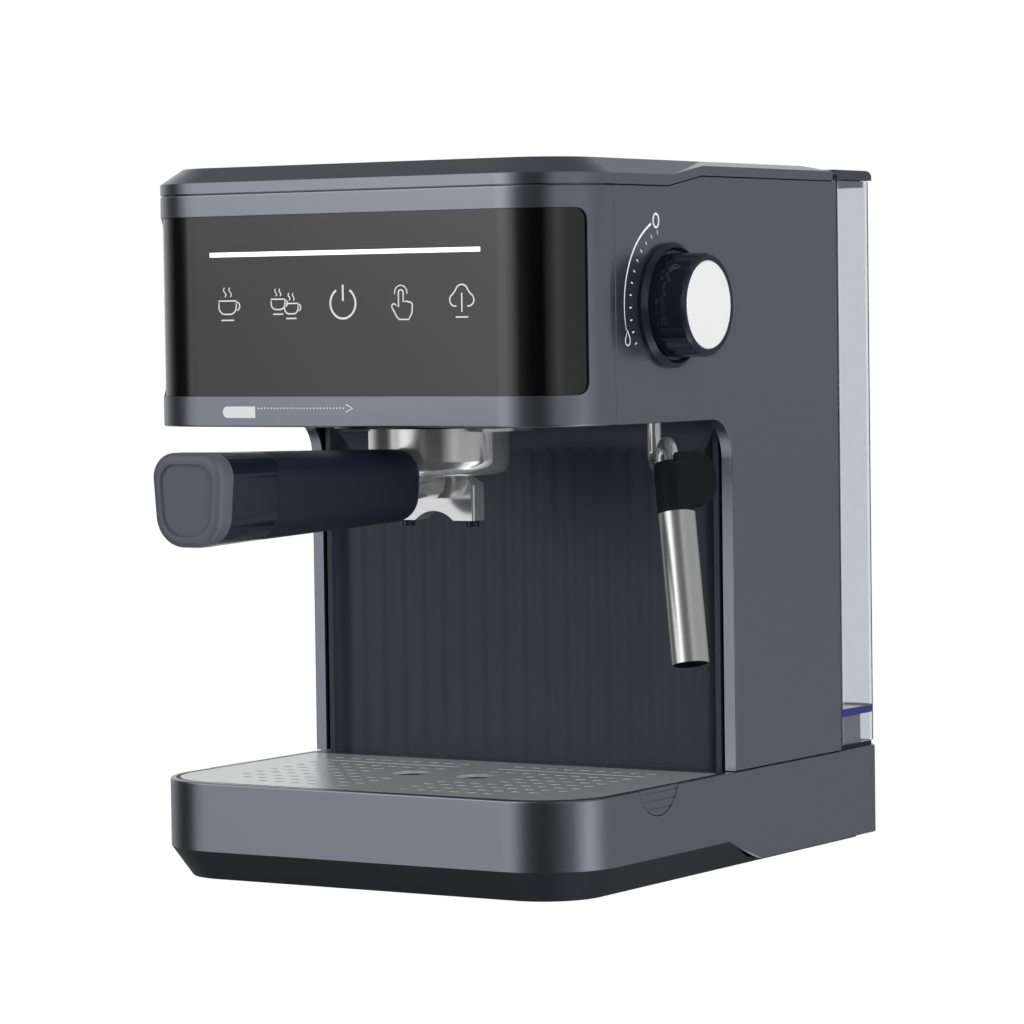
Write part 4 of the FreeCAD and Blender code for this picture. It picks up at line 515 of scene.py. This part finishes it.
@dataclass
class Head(SubAssembly):
    """Bezel and touch panel with the pictograms of five keys and the lock mark."""

    key_pitch: float = 28.1
    key_level: float = 49.2
    icon_scale: float = 1.12
    stroke: float = 0.5
    thin_share: float = 0.8
    bold_share: float = 1.5
    single_size: float = 1.2
    double_size: float = 0.92
    lock_level: float = 6.0
    lock_left: float = -59.0
    lock_pill: float = 16.0
    lock_right: float = 3.0
    pill_height: float = 4.6
    dot_pitch: float = 1.6
    dot_radius: float = 0.34
    line_share: float = 0.7
    arrow_length: float = 3.2
    arrow_half: float = 1.5

    def finishes(self) -> dict[Finish, list[str]]:
        """Names of the solid pieces under each finish."""
        return {
            SHELL_PAINT: ["head_bezel"],
            PANEL_GLASS: ["touch_panel"],
            LIGHT_GUIDE: ["light_bar"],
            BOARD: ["control_board", "touch_springs"],
            DARK_ABS_AND_PAINTED_SHADE: ["head_floor"],
        }

    def cup(self, mark: Mark, u: float, v: float, size: float) -> None:
        """Draws a steaming cup on its saucer.

        Args:
            mark: Mark that takes the strokes.
            u: Place across.
            v: Place up.
            size: Scale of the drawing.
        """
        def put(points: list[Point2]) -> list[Point2]:
            """Scaled and shifted points."""
            return [(u + a * size, v + b * size) for a, b in points]

        bowl = [(-3.4, 1.2), (-3.4, -0.4)] + arc(-1.2, -0.6, 2.2, 180, 270, 6)
        bowl += arc(0.8, -0.6, 2.2, 270, 360, 6) + [(3.0, 1.2)]
        mark.line(put(bowl), self.stroke, True)
        mark.line(put(arc(3.0, -0.4, 1.3, 75, -75, 10)), self.stroke)
        mark.line(put([(-2.6, -4.6), (2.2, -4.6)]), self.stroke)
        for start in (-1.2, 0.8):
            wisp = [(start + 0.45 * math.sin(math.tau * i / 10), 2.4 + 0.28 * i)
                    for i in range(11)]
            mark.line(put(wisp), self.stroke * self.thin_share)

    def pictograms(self) -> list[Mark]:
        """Marks of the five keys, each about its own centre.

        Returns:
            One mark per key, from left to right.
        """
        single = Mark("print_single_cup")
        self.cup(single, 0.0, 0.0, self.single_size)
        double = Mark("print_two_cups")
        self.cup(double, -2.9, 0.7, self.double_size)
        self.cup(double, 2.9, -0.9, self.double_size)
        standby = Mark("print_standby")
        standby.line(arc(0, 0, 5.4, 122, 418, 40), self.stroke * self.bold_share)
        standby.line([(0, 0.8), (0, 6.6)], self.stroke * self.bold_share)
        hand = Mark("print_hand")
        palm = [(0.6, 0.2), (0.6, 3.4)] + arc(-0.4, 3.4, 1.0, 0, 180, 8) + [(-1.4, -1.6)]
        palm += arc(-3.4, -1.4, 0.9, 60, 190, 8) + [(-2.2, -5.0)] + [(-1.2, -6.0), (2.8, -6.0)]
        palm += [(4.2, -3.8), (4.4, -1.0)] + arc(3.5, -0.9, 0.9, 0, 90, 6) + [(1.8, 0.4)]
        hand.line(palm, self.stroke, True)
        hand.line(arc(-0.4, 3.4, 2.6, -10, 190, 18), self.stroke * self.thin_share)
        steam = Mark("print_steam")
        cloud = arc(-2.8, 0.6, 2.2, 285, 115, 14) + arc(0, 3.2, 2.7, 165, 15, 16)
        cloud += arc(2.8, 0.6, 2.2, 65, -105, 14)
        steam.line(cloud, self.stroke)
        steam.line([(0, 3.0), (0, -3.6)], self.stroke)
        steam.line([(-2.6, -5.4), (2.6, -5.4)], self.stroke)
        return [single, double, standby, hand, steam]

    def lock_mark(self) -> Mark:
        """Pill, dotted line and arrow that show which way the handle locks.

        Returns:
            The mark, about the middle of the head's lower edge.
        """
        mark = Mark("print_lock_arrow")
        radius = self.pill_height / 2
        left = self.lock_left + radius
        right = self.lock_left + self.lock_pill
        mark.fill([(right, -radius), (right, radius)] + arc(left, 0, radius, 90, 270, 12))
        line_level = radius * self.line_share
        spot = right + self.dot_pitch
        while spot < self.lock_right - self.dot_pitch:
            mark.fill(arc(spot, line_level, self.dot_radius, 0, 324, 9))
            spot += self.dot_pitch
        tip = self.lock_right + self.dot_pitch
        tail = tip - self.arrow_length
        mark.line([(tail, line_level + self.arrow_half), (tip, line_level),
                   (tail, line_level - self.arrow_half)], self.stroke)
        return mark

    def dress(self) -> None:
        """Finishes the head and prints its marks."""
        super().dress()
        printer = Printer()
        panel = front_canvas("touch_panel")
        marks = self.pictograms()
        first = -self.key_pitch * (len(marks) - 1) / 2
        for index, mark in enumerate(marks):
            middle = panel.lift(first + self.key_pitch * index, self.key_level, 0)
            printer.draw(mark, Canvas(middle, panel.across * self.icon_scale,
                                      panel.upward * self.icon_scale, panel.outward))
        bezel = front_canvas("head_bezel")
        printer.draw(self.lock_mark(), Canvas(bezel.lift(0, self.lock_level, 0), bezel.across,
                                              bezel.upward, bezel.outward))


@dataclass
class BrewGroup(SubAssembly):
    """Bayonet, brewing head and boiler."""

    def finishes(self) -> dict[Finish, list[str]]:
        """Names of the solid pieces under each finish."""
        return {
            GLOSS_BLACK: ["bayonet_collar"],
            CAST_ALUMINIUM: ["boiler", "group_head"],
            RUBBER: ["group_gasket"],
            SATIN_STEEL: ["shower_screen", "shower_screw", "boiler_screws"],
            TURNED_BRASS: ["thermostats"],
        }


@dataclass
class Portafilter(SubAssembly):
    """Plated bowl and spout with the moulded handle."""

    def finishes(self) -> dict[Finish, list[str]]:
        """Names of the solid pieces under each finish."""
        return {
            CHROME: ["portafilter_bowl", "spout_yoke"],
            GLOSS_BLACK: ["spout_tips", "handle_collar"],
            SATIN_STEEL: ["filter_basket", "handle_stud"],
            GRIP_PLASTIC: ["handle_grip"],
            END_CAP_PLASTIC: ["handle_end_cap"],
        }


@dataclass
class SteamKnob(SubAssembly):
    """Steam knob, its valve, and the printed scale drawn about the knob's axis."""

    arc_radius: float = 35.0
    arc_start: float = 113.0
    arc_end: float = 196.0
    arc_thick: float = 1.0
    arc_thin: float = 0.28
    tick_radius: float = 30.3
    tick_length: float = 1.5
    tick_width: float = 0.42
    tick_start: float = 107.0
    tick_step: float = 9.3
    tick_count: int = 12
    ring_radius: float = 2.2
    ring_height: float = 2.7
    ring_angle: float = 106.3
    ring_share: float = 0.8
    ring_steps: int = 28
    drop_angle: float = 201.2
    drop_radius: float = 1.9
    drop_low: float = -1.0
    drop_tip: float = 3.0

    def finishes(self) -> dict[Finish, list[str]]:
        """Names of the solid pieces under each finish."""
        return {
            GLOSS_BLACK: ["knob_body", "dial_ring"],
            SPUN_ALUMINIUM: ["knob_insert"],
            SATIN_STEEL: ["valve_spindle", "steam_pipe", "wand_feed"],
            TURNED_BRASS: ["steam_valve", "valve_nut"],
        }

    @staticmethod
    def around(radius: float, degrees: float) -> Point2:
        """Place at a distance from the knob's axis, at an angle."""
        turn = math.radians(degrees)
        return (radius * math.cos(turn), radius * math.sin(turn))

    def marks(self) -> list[Mark]:
        """Scale of the dial: ring, tapered arc, ticks and drop.

        Returns:
            The marks, with depth to the rear as the across direction.
        """
        scale = Mark("print_steam_scale")
        scale.taper(arc(0, 0, self.arc_radius, self.arc_start, self.arc_end, 40),
                    self.arc_thick, self.arc_thin)
        inner = self.tick_radius - self.tick_length / 2
        outer = self.tick_radius + self.tick_length / 2
        for index in range(self.tick_count):
            angle = self.tick_start + self.tick_step * index
            scale.line([self.around(inner, angle), self.around(outer, angle)], self.tick_width)
        u, v = self.around(self.arc_radius, self.ring_angle)
        turns = [math.tau * i / self.ring_steps for i in range(self.ring_steps)]
        ring = [(u + self.ring_radius * math.cos(turn), v + self.ring_height * math.sin(turn))
                for turn in turns]
        scale.line(ring, self.arc_thick * self.ring_share, True)
        drop = Mark("print_steam_drop")
        u, v = self.around(self.arc_radius, self.drop_angle)
        outline = arc(0, self.drop_low, self.drop_radius, 145, 395, 20) + [(0, self.drop_tip)]
        drop.line([(u + a, v + b) for a, b in outline], self.tick_width, True)
        return [scale, drop]

    def dress(self) -> None:
        """Finishes the knob and prints its scale on the side panel."""
        super().dress()
        _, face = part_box("right_side_panel")
        low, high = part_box("dial_ring")
        middle = (low + high) / 2
        side = Canvas(Vector((face.x, middle.y, middle.z)),
                      Vector((0, 1, 0)), Vector((0, 0, 1)), Vector((1, 0, 0)))
        printer = Printer()
        for mark in self.marks():
            printer.draw(mark, side)


@dataclass
class SteamWand(SubAssembly):
    """Bent pipe with its grip and frother sleeve."""

    sleeve_wall: float = 0.7

    def finishes(self) -> dict[Finish, list[str]]:
        """Names of the solid pieces under each finish."""
        return {
            CHROME: ["wand_pipe"],
            RUBBER: ["wand_grip"],
            SATIN_STEEL: ["frother_sleeve", "wand_nozzle"],
            DARK_ABS_AND_PAINTED_SHADE: ["wand_bush"],
        }

    def dress(self) -> None:
        """Finishes the wand and paints shade into the bore of its open sleeve."""
        super().dress()
        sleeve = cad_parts["frother_sleeve"]
        points = [sleeve.matrix_world @ vertex.co for vertex in sleeve.data.vertices]
        middle = sum(points, Vector()) / len(points)
        upper = [point for point in points if point.z > middle.z]
        axis = (sum(upper, Vector()) / len(upper) - middle).normalized()
        radius = max((point - middle).cross(axis).length for point in points)
        limit = radius - self.sleeve_wall * MM / 2
        # The inner faces of the sleeve take a painted shade that stands for the shadow in its
        # bore.
        paint_faces("frother_sleeve", SLEEVE_BORE_PAINTED_SHADE,
                    lambda spot: (spot - middle).cross(axis).length < limit)


@dataclass
class WaterTank(SubAssembly):
    """Clear tank with its band, lid and seat."""

    plate_height: float = 1.75

    def finishes(self) -> dict[Finish, list[str]]:
        """Names of the solid pieces under each finish."""
        return {
            CLEAR_SAN: ["water_tank"],
            BLUE_SAN: ["tank_band"],
            LID_PLASTIC: ["tank_lid"],
            SEAT_PLASTIC: ["tank_pedestal", "tank_strainer"],
            DARK_ABS_AND_PAINTED_SHADE: ["tank_valve"],
            RUBBER: ["tank_seal"],
            SATIN_STEEL: ["lid_pins"],
        }

    def dress(self) -> None:
        """Finishes the tank and paints shade on the thin plate of its seat, in the shadowed gap
        under the tank.
        """
        super().dress()
        _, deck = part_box("base_shell")
        shaded_plate_top = deck.z + self.plate_height * MM
        # Faces of the seat below the plate's top take painted shade, for the shadow in the gap
        # under the tank.
        paint_faces("tank_pedestal", DARK_ABS_AND_PAINTED_SHADE, lambda spot: spot.z < shaded_plate_top)


@dataclass
class PumpGroup(SubAssembly):
    """Pump on its rubber mounts, with the hoses."""

    def finishes(self) -> dict[Finish, list[str]]:
        """Names of the solid pieces under each finish."""
        return {
            SATIN_STEEL: ["pump", "pump_bracket"],
            RUBBER: ["pump_mounts", "water_hose", "pressure_hose"],
        }


@dataclass(frozen=True)
class Softbox:
    """Square soft lamp, placed and sized in metres, with its power in watts."""

    name: str
    place: Point3
    size: float
    power: float
    mirrored: bool = True


@dataclass
class Studio:
    """Pale floor, soft light and the camera of the photograph."""

    floor_size: float = 40.0
    floor_colour: str = "#F4F4F4"
    floor_glow: float = 1.06
    floor_share: float = 0.94
    backdrop_strength: float = 1.0
    camera_place: Point3 = (968.46, -1401.63, 233.59)
    camera_yaw: float = -32.41
    camera_pitch: float = 2.68
    camera_roll: float = -0.80
    lens: float = 150.93
    sensor: float = 36.0
    # Angles round from the front, in degrees, with the brightness at each.
    ground_lights: Lights = (
        (-180, 0.25), (-150, 0.7), (-104, 0.5), (-88, 0.12), (-78, 0.03), (-62, 0.03),
        (-52, 0.4), (-46, 0.85), (-39, 0.92), (-30, 1.1), (-22, 1.1), (-12, 0.55),
        (0, 0.08), (14, 0.0), (52, 0.0), (68, 0.2), (82, 1.3), (94, 2.0),
        (106, 1.2), (122, 0.44), (147, 0.44), (180, 0.25))
    low_lights: Lights = (
        (-180, 0.22), (-150, 0.85), (-108, 0.6), (-94, 0.22), (-82, 0.03), (-60, 0.03),
        (-54, 0.2), (-48, 0.7), (-38, 0.58), (-31, 1.02), (-22, 1.12), (-10, 0.75),
        (1, 0.12), (17, 0.02), (36, 0.0), (47, 0.25), (58, 0.52), (72, 0.34),
        (92, 0.28), (120, 0.28), (147, 0.32), (180, 0.22))
    high_lights: Lights = (
        (-180, 0.12), (-32, 0.20), (40, 0.02), (75, 0.08), (115, 0.28), (150, 0.20),
        (180, 0.12))
    # Heights of a ray's direction, from -1 straight down to 1 straight up.
    low_heights: Span = (-0.10, -0.05)
    high_heights: Span = (0.3, 0.75)
    fade_heights: Span = (-0.12, 0.05)
    fade_levels: Span = (0.72, 1.04)
    softboxes: tuple[Softbox, ...] = (
        Softbox("key_softbox", (-1.3, -1.6, 1.5), 2.6, 17.0),
        Softbox("side_softbox", (1.8, -0.8, 0.87), 1.6, 36.0, mirrored=False))
    aim_height: float = 0.15

    def floor(self) -> None:
        """Lays the pale floor, which shiny pieces see through to the soft lights around."""
        half = self.floor_size / 2
        mesh = bpy.data.meshes.new("studio_floor")
        corners = [(-half, -half, 0), (half, -half, 0), (half, half, 0), (-half, half, 0)]
        mesh.from_pydata(corners, [], [(0, 1, 2, 3)])
        material = bpy.data.materials.new("matt_white_paper")
        material.use_nodes = True
        tree = material.node_tree
        tree.nodes.clear()
        rays = add_node(tree, "ShaderNodeLightPath")
        paper = add_node(tree, "ShaderNodeBsdfDiffuse", {"Color": linear(self.floor_colour)})
        lit = add_node(tree, "ShaderNodeEmission",
                       {"Color": linear(WHITE), "Strength": self.floor_glow})
        share = add_node(tree, "ShaderNodeMath", {"operation": "MULTIPLY"},
                         {0: rays.outputs["Is Camera Ray"]})
        share.inputs[1].default_value = self.floor_share
        mixed = add_node(tree, "ShaderNodeMixShader", links={
            0: share.outputs["Value"], 1: paper.outputs["BSDF"], 2: lit.outputs["Emission"]})
        open_floor = add_node(tree, "ShaderNodeBsdfTransparent")
        shown = add_node(tree, "ShaderNodeMixShader", links={
            0: rays.outputs["Is Glossy Ray"], 1: mixed.outputs["Shader"],
            2: open_floor.outputs["BSDF"]})
        add_node(tree, "ShaderNodeOutputMaterial", links={"Surface": shown.outputs["Shader"]})
        mesh.materials.append(material)
        floor = bpy.data.objects.new("studio_floor", mesh)
        bpy.context.scene.collection.objects.link(floor)

    def world(self) -> None:
        """Surrounds the machine with light that changes round it and with height.

        Seen by the camera or through a clear piece, the surround is plain white.
        """
        world = bpy.data.worlds.new("studio")
        bpy.context.scene.world = world
        world.use_nodes = True
        tree = world.node_tree
        tree.nodes.clear()
        place = add_node(tree, "ShaderNodeTexCoord")
        parts = add_node(tree, "ShaderNodeSeparateXYZ",
                         links={"Vector": place.outputs["Generated"]})
        back = add_node(tree, "ShaderNodeMath", {"operation": "MULTIPLY"}, {0: parts.outputs["Y"]})
        back.inputs[1].default_value = -1.0
        turn = add_node(tree, "ShaderNodeMath", {"operation": "ARCTAN2"},
                        {0: parts.outputs["X"], 1: back.outputs["Value"]})
        share = add_node(tree, "ShaderNodeMapRange", {"From Min": -math.pi, "From Max": math.pi},
                         {"Value": turn.outputs["Value"]})
        bands = []
        for lights in (self.ground_lights, self.low_lights, self.high_lights):
            ramp = add_node(tree, "ShaderNodeValToRGB", links={"Fac": share.outputs["Result"]})
            self._shape(ramp.color_ramp, lights)
            bands.append(ramp.outputs["Color"])
        around = bands[0]
        for band, heights in zip(bands[1:], (self.low_heights, self.high_heights)):
            rise = add_node(tree, "ShaderNodeMapRange",
                            {"From Min": heights[0], "From Max": heights[1]},
                            {"Value": parts.outputs["Z"]})
            level = add_node(tree, "ShaderNodeMix", {"data_type": "RGBA"}, {
                MIX_FACTOR: rise.outputs["Result"], MIX_FIRST: around, MIX_SECOND: band})
            around = level.outputs[MIX_RESULT]
        fade = add_node(tree, "ShaderNodeMapRange",
                        {"From Min": self.fade_heights[0], "From Max": self.fade_heights[1],
                         "To Min": self.fade_levels[0], "To Max": self.fade_levels[1]},
                        {"Value": parts.outputs["Z"]})
        soft = add_node(tree, "ShaderNodeBackground",
                        links={"Color": around, "Strength": fade.outputs["Result"]})
        white = add_node(tree, "ShaderNodeBackground",
                         {"Color": linear(WHITE), "Strength": self.backdrop_strength})
        rays = add_node(tree, "ShaderNodeLightPath")
        seen = add_node(tree, "ShaderNodeMath", {"operation": "MAXIMUM"},
                        {0: rays.outputs["Is Camera Ray"], 1: rays.outputs["Is Transmission Ray"]})
        mixed = add_node(tree, "ShaderNodeMixShader", links={
            0: seen.outputs["Value"], 1: soft.outputs["Background"],
            2: white.outputs["Background"]})
        add_node(tree, "ShaderNodeOutputWorld", links={"Surface": mixed.outputs["Shader"]})

    @staticmethod
    def _shape(ramp: bpy.types.ColorRamp, lights: Lights) -> None:
        """Sets how bright the surround is, by the angle round from the front.

        Args:
            ramp: Colour ramp from the left rear, round the front, to the right rear.
            lights: Angles in degrees, growing, with the brightness at each.
        """
        while len(ramp.elements) < len(lights):
            ramp.elements.new(0.5)
        for element, (angle, bright) in zip(ramp.elements, lights):
            element.position = (angle + 180) / 360
            element.color = (bright, bright, bright, 1.0)

    def lamp(self, softbox: Softbox) -> None:
        """Hangs one soft lamp that points at the machine.

        Args:
            softbox: Place, size and power of the lamp, and if shiny pieces reflect it.
        """
        data = bpy.data.lights.new(softbox.name, "AREA")
        data.size = softbox.size
        data.energy = softbox.power
        lamp = bpy.data.objects.new(softbox.name, data)
        lamp.location = softbox.place
        lamp.visible_glossy = softbox.mirrored
        aim = Vector((0, 0, self.aim_height)) - Vector(softbox.place)
        lamp.rotation_euler = aim.to_track_quat("-Z", "Y").to_euler()
        bpy.context.scene.collection.objects.link(lamp)

    def camera(self, origin: Vector) -> None:
        """Stands the camera where the photograph was taken from.

        Args:
            origin: Middle of the body's front face on the floor.
        """
        yaw = math.radians(self.camera_yaw)
        pitch = math.radians(self.camera_pitch)
        roll = math.radians(self.camera_roll)
        ahead = Vector((math.sin(yaw) * math.cos(pitch), math.cos(yaw) * math.cos(pitch),
                        -math.sin(pitch)))
        level = Vector((math.cos(yaw), -math.sin(yaw), 0))
        above = level.cross(ahead)
        right = level * math.cos(roll) + above * math.sin(roll)
        top = above * math.cos(roll) - level * math.sin(roll)
        data = bpy.data.cameras.new("photo_camera")
        data.lens = self.lens
        data.sensor_width = self.sensor
        data.sensor_fit = "HORIZONTAL"
        camera = bpy.data.objects.new("photo_camera", data)
        turn = Matrix((right, top, -ahead)).transposed().to_4x4()
        camera.matrix_world = Matrix.Translation(origin + Vector(self.camera_place) * MM) @ turn
        bpy.context.scene.collection.objects.link(camera)
        bpy.context.scene.camera = camera

    def build(self, origin: Vector) -> None:
        """Sets up the whole studio.

        Args:
            origin: Middle of the body's front face on the floor.
        """
        self.floor()
        self.world()
        for softbox in self.softboxes:
            self.lamp(softbox)
        self.camera(origin)
        bpy.context.scene.view_settings.view_transform = "Standard"


def main() -> None:
    """Builds the machine's dress and the studio."""
    logging.basicConfig(level=logging.INFO)
    for sub_assembly in (Base(), DripTray(), BodyShell(), Head(), BrewGroup(), Portafilter(),
                         SteamKnob(), SteamWand(), WaterTank(), PumpGroup()):
        sub_assembly.dress()
        log.info("dressed %s", type(sub_assembly).__name__)
    Studio().build(front_middle())


if __name__ == "__main__":
    main()
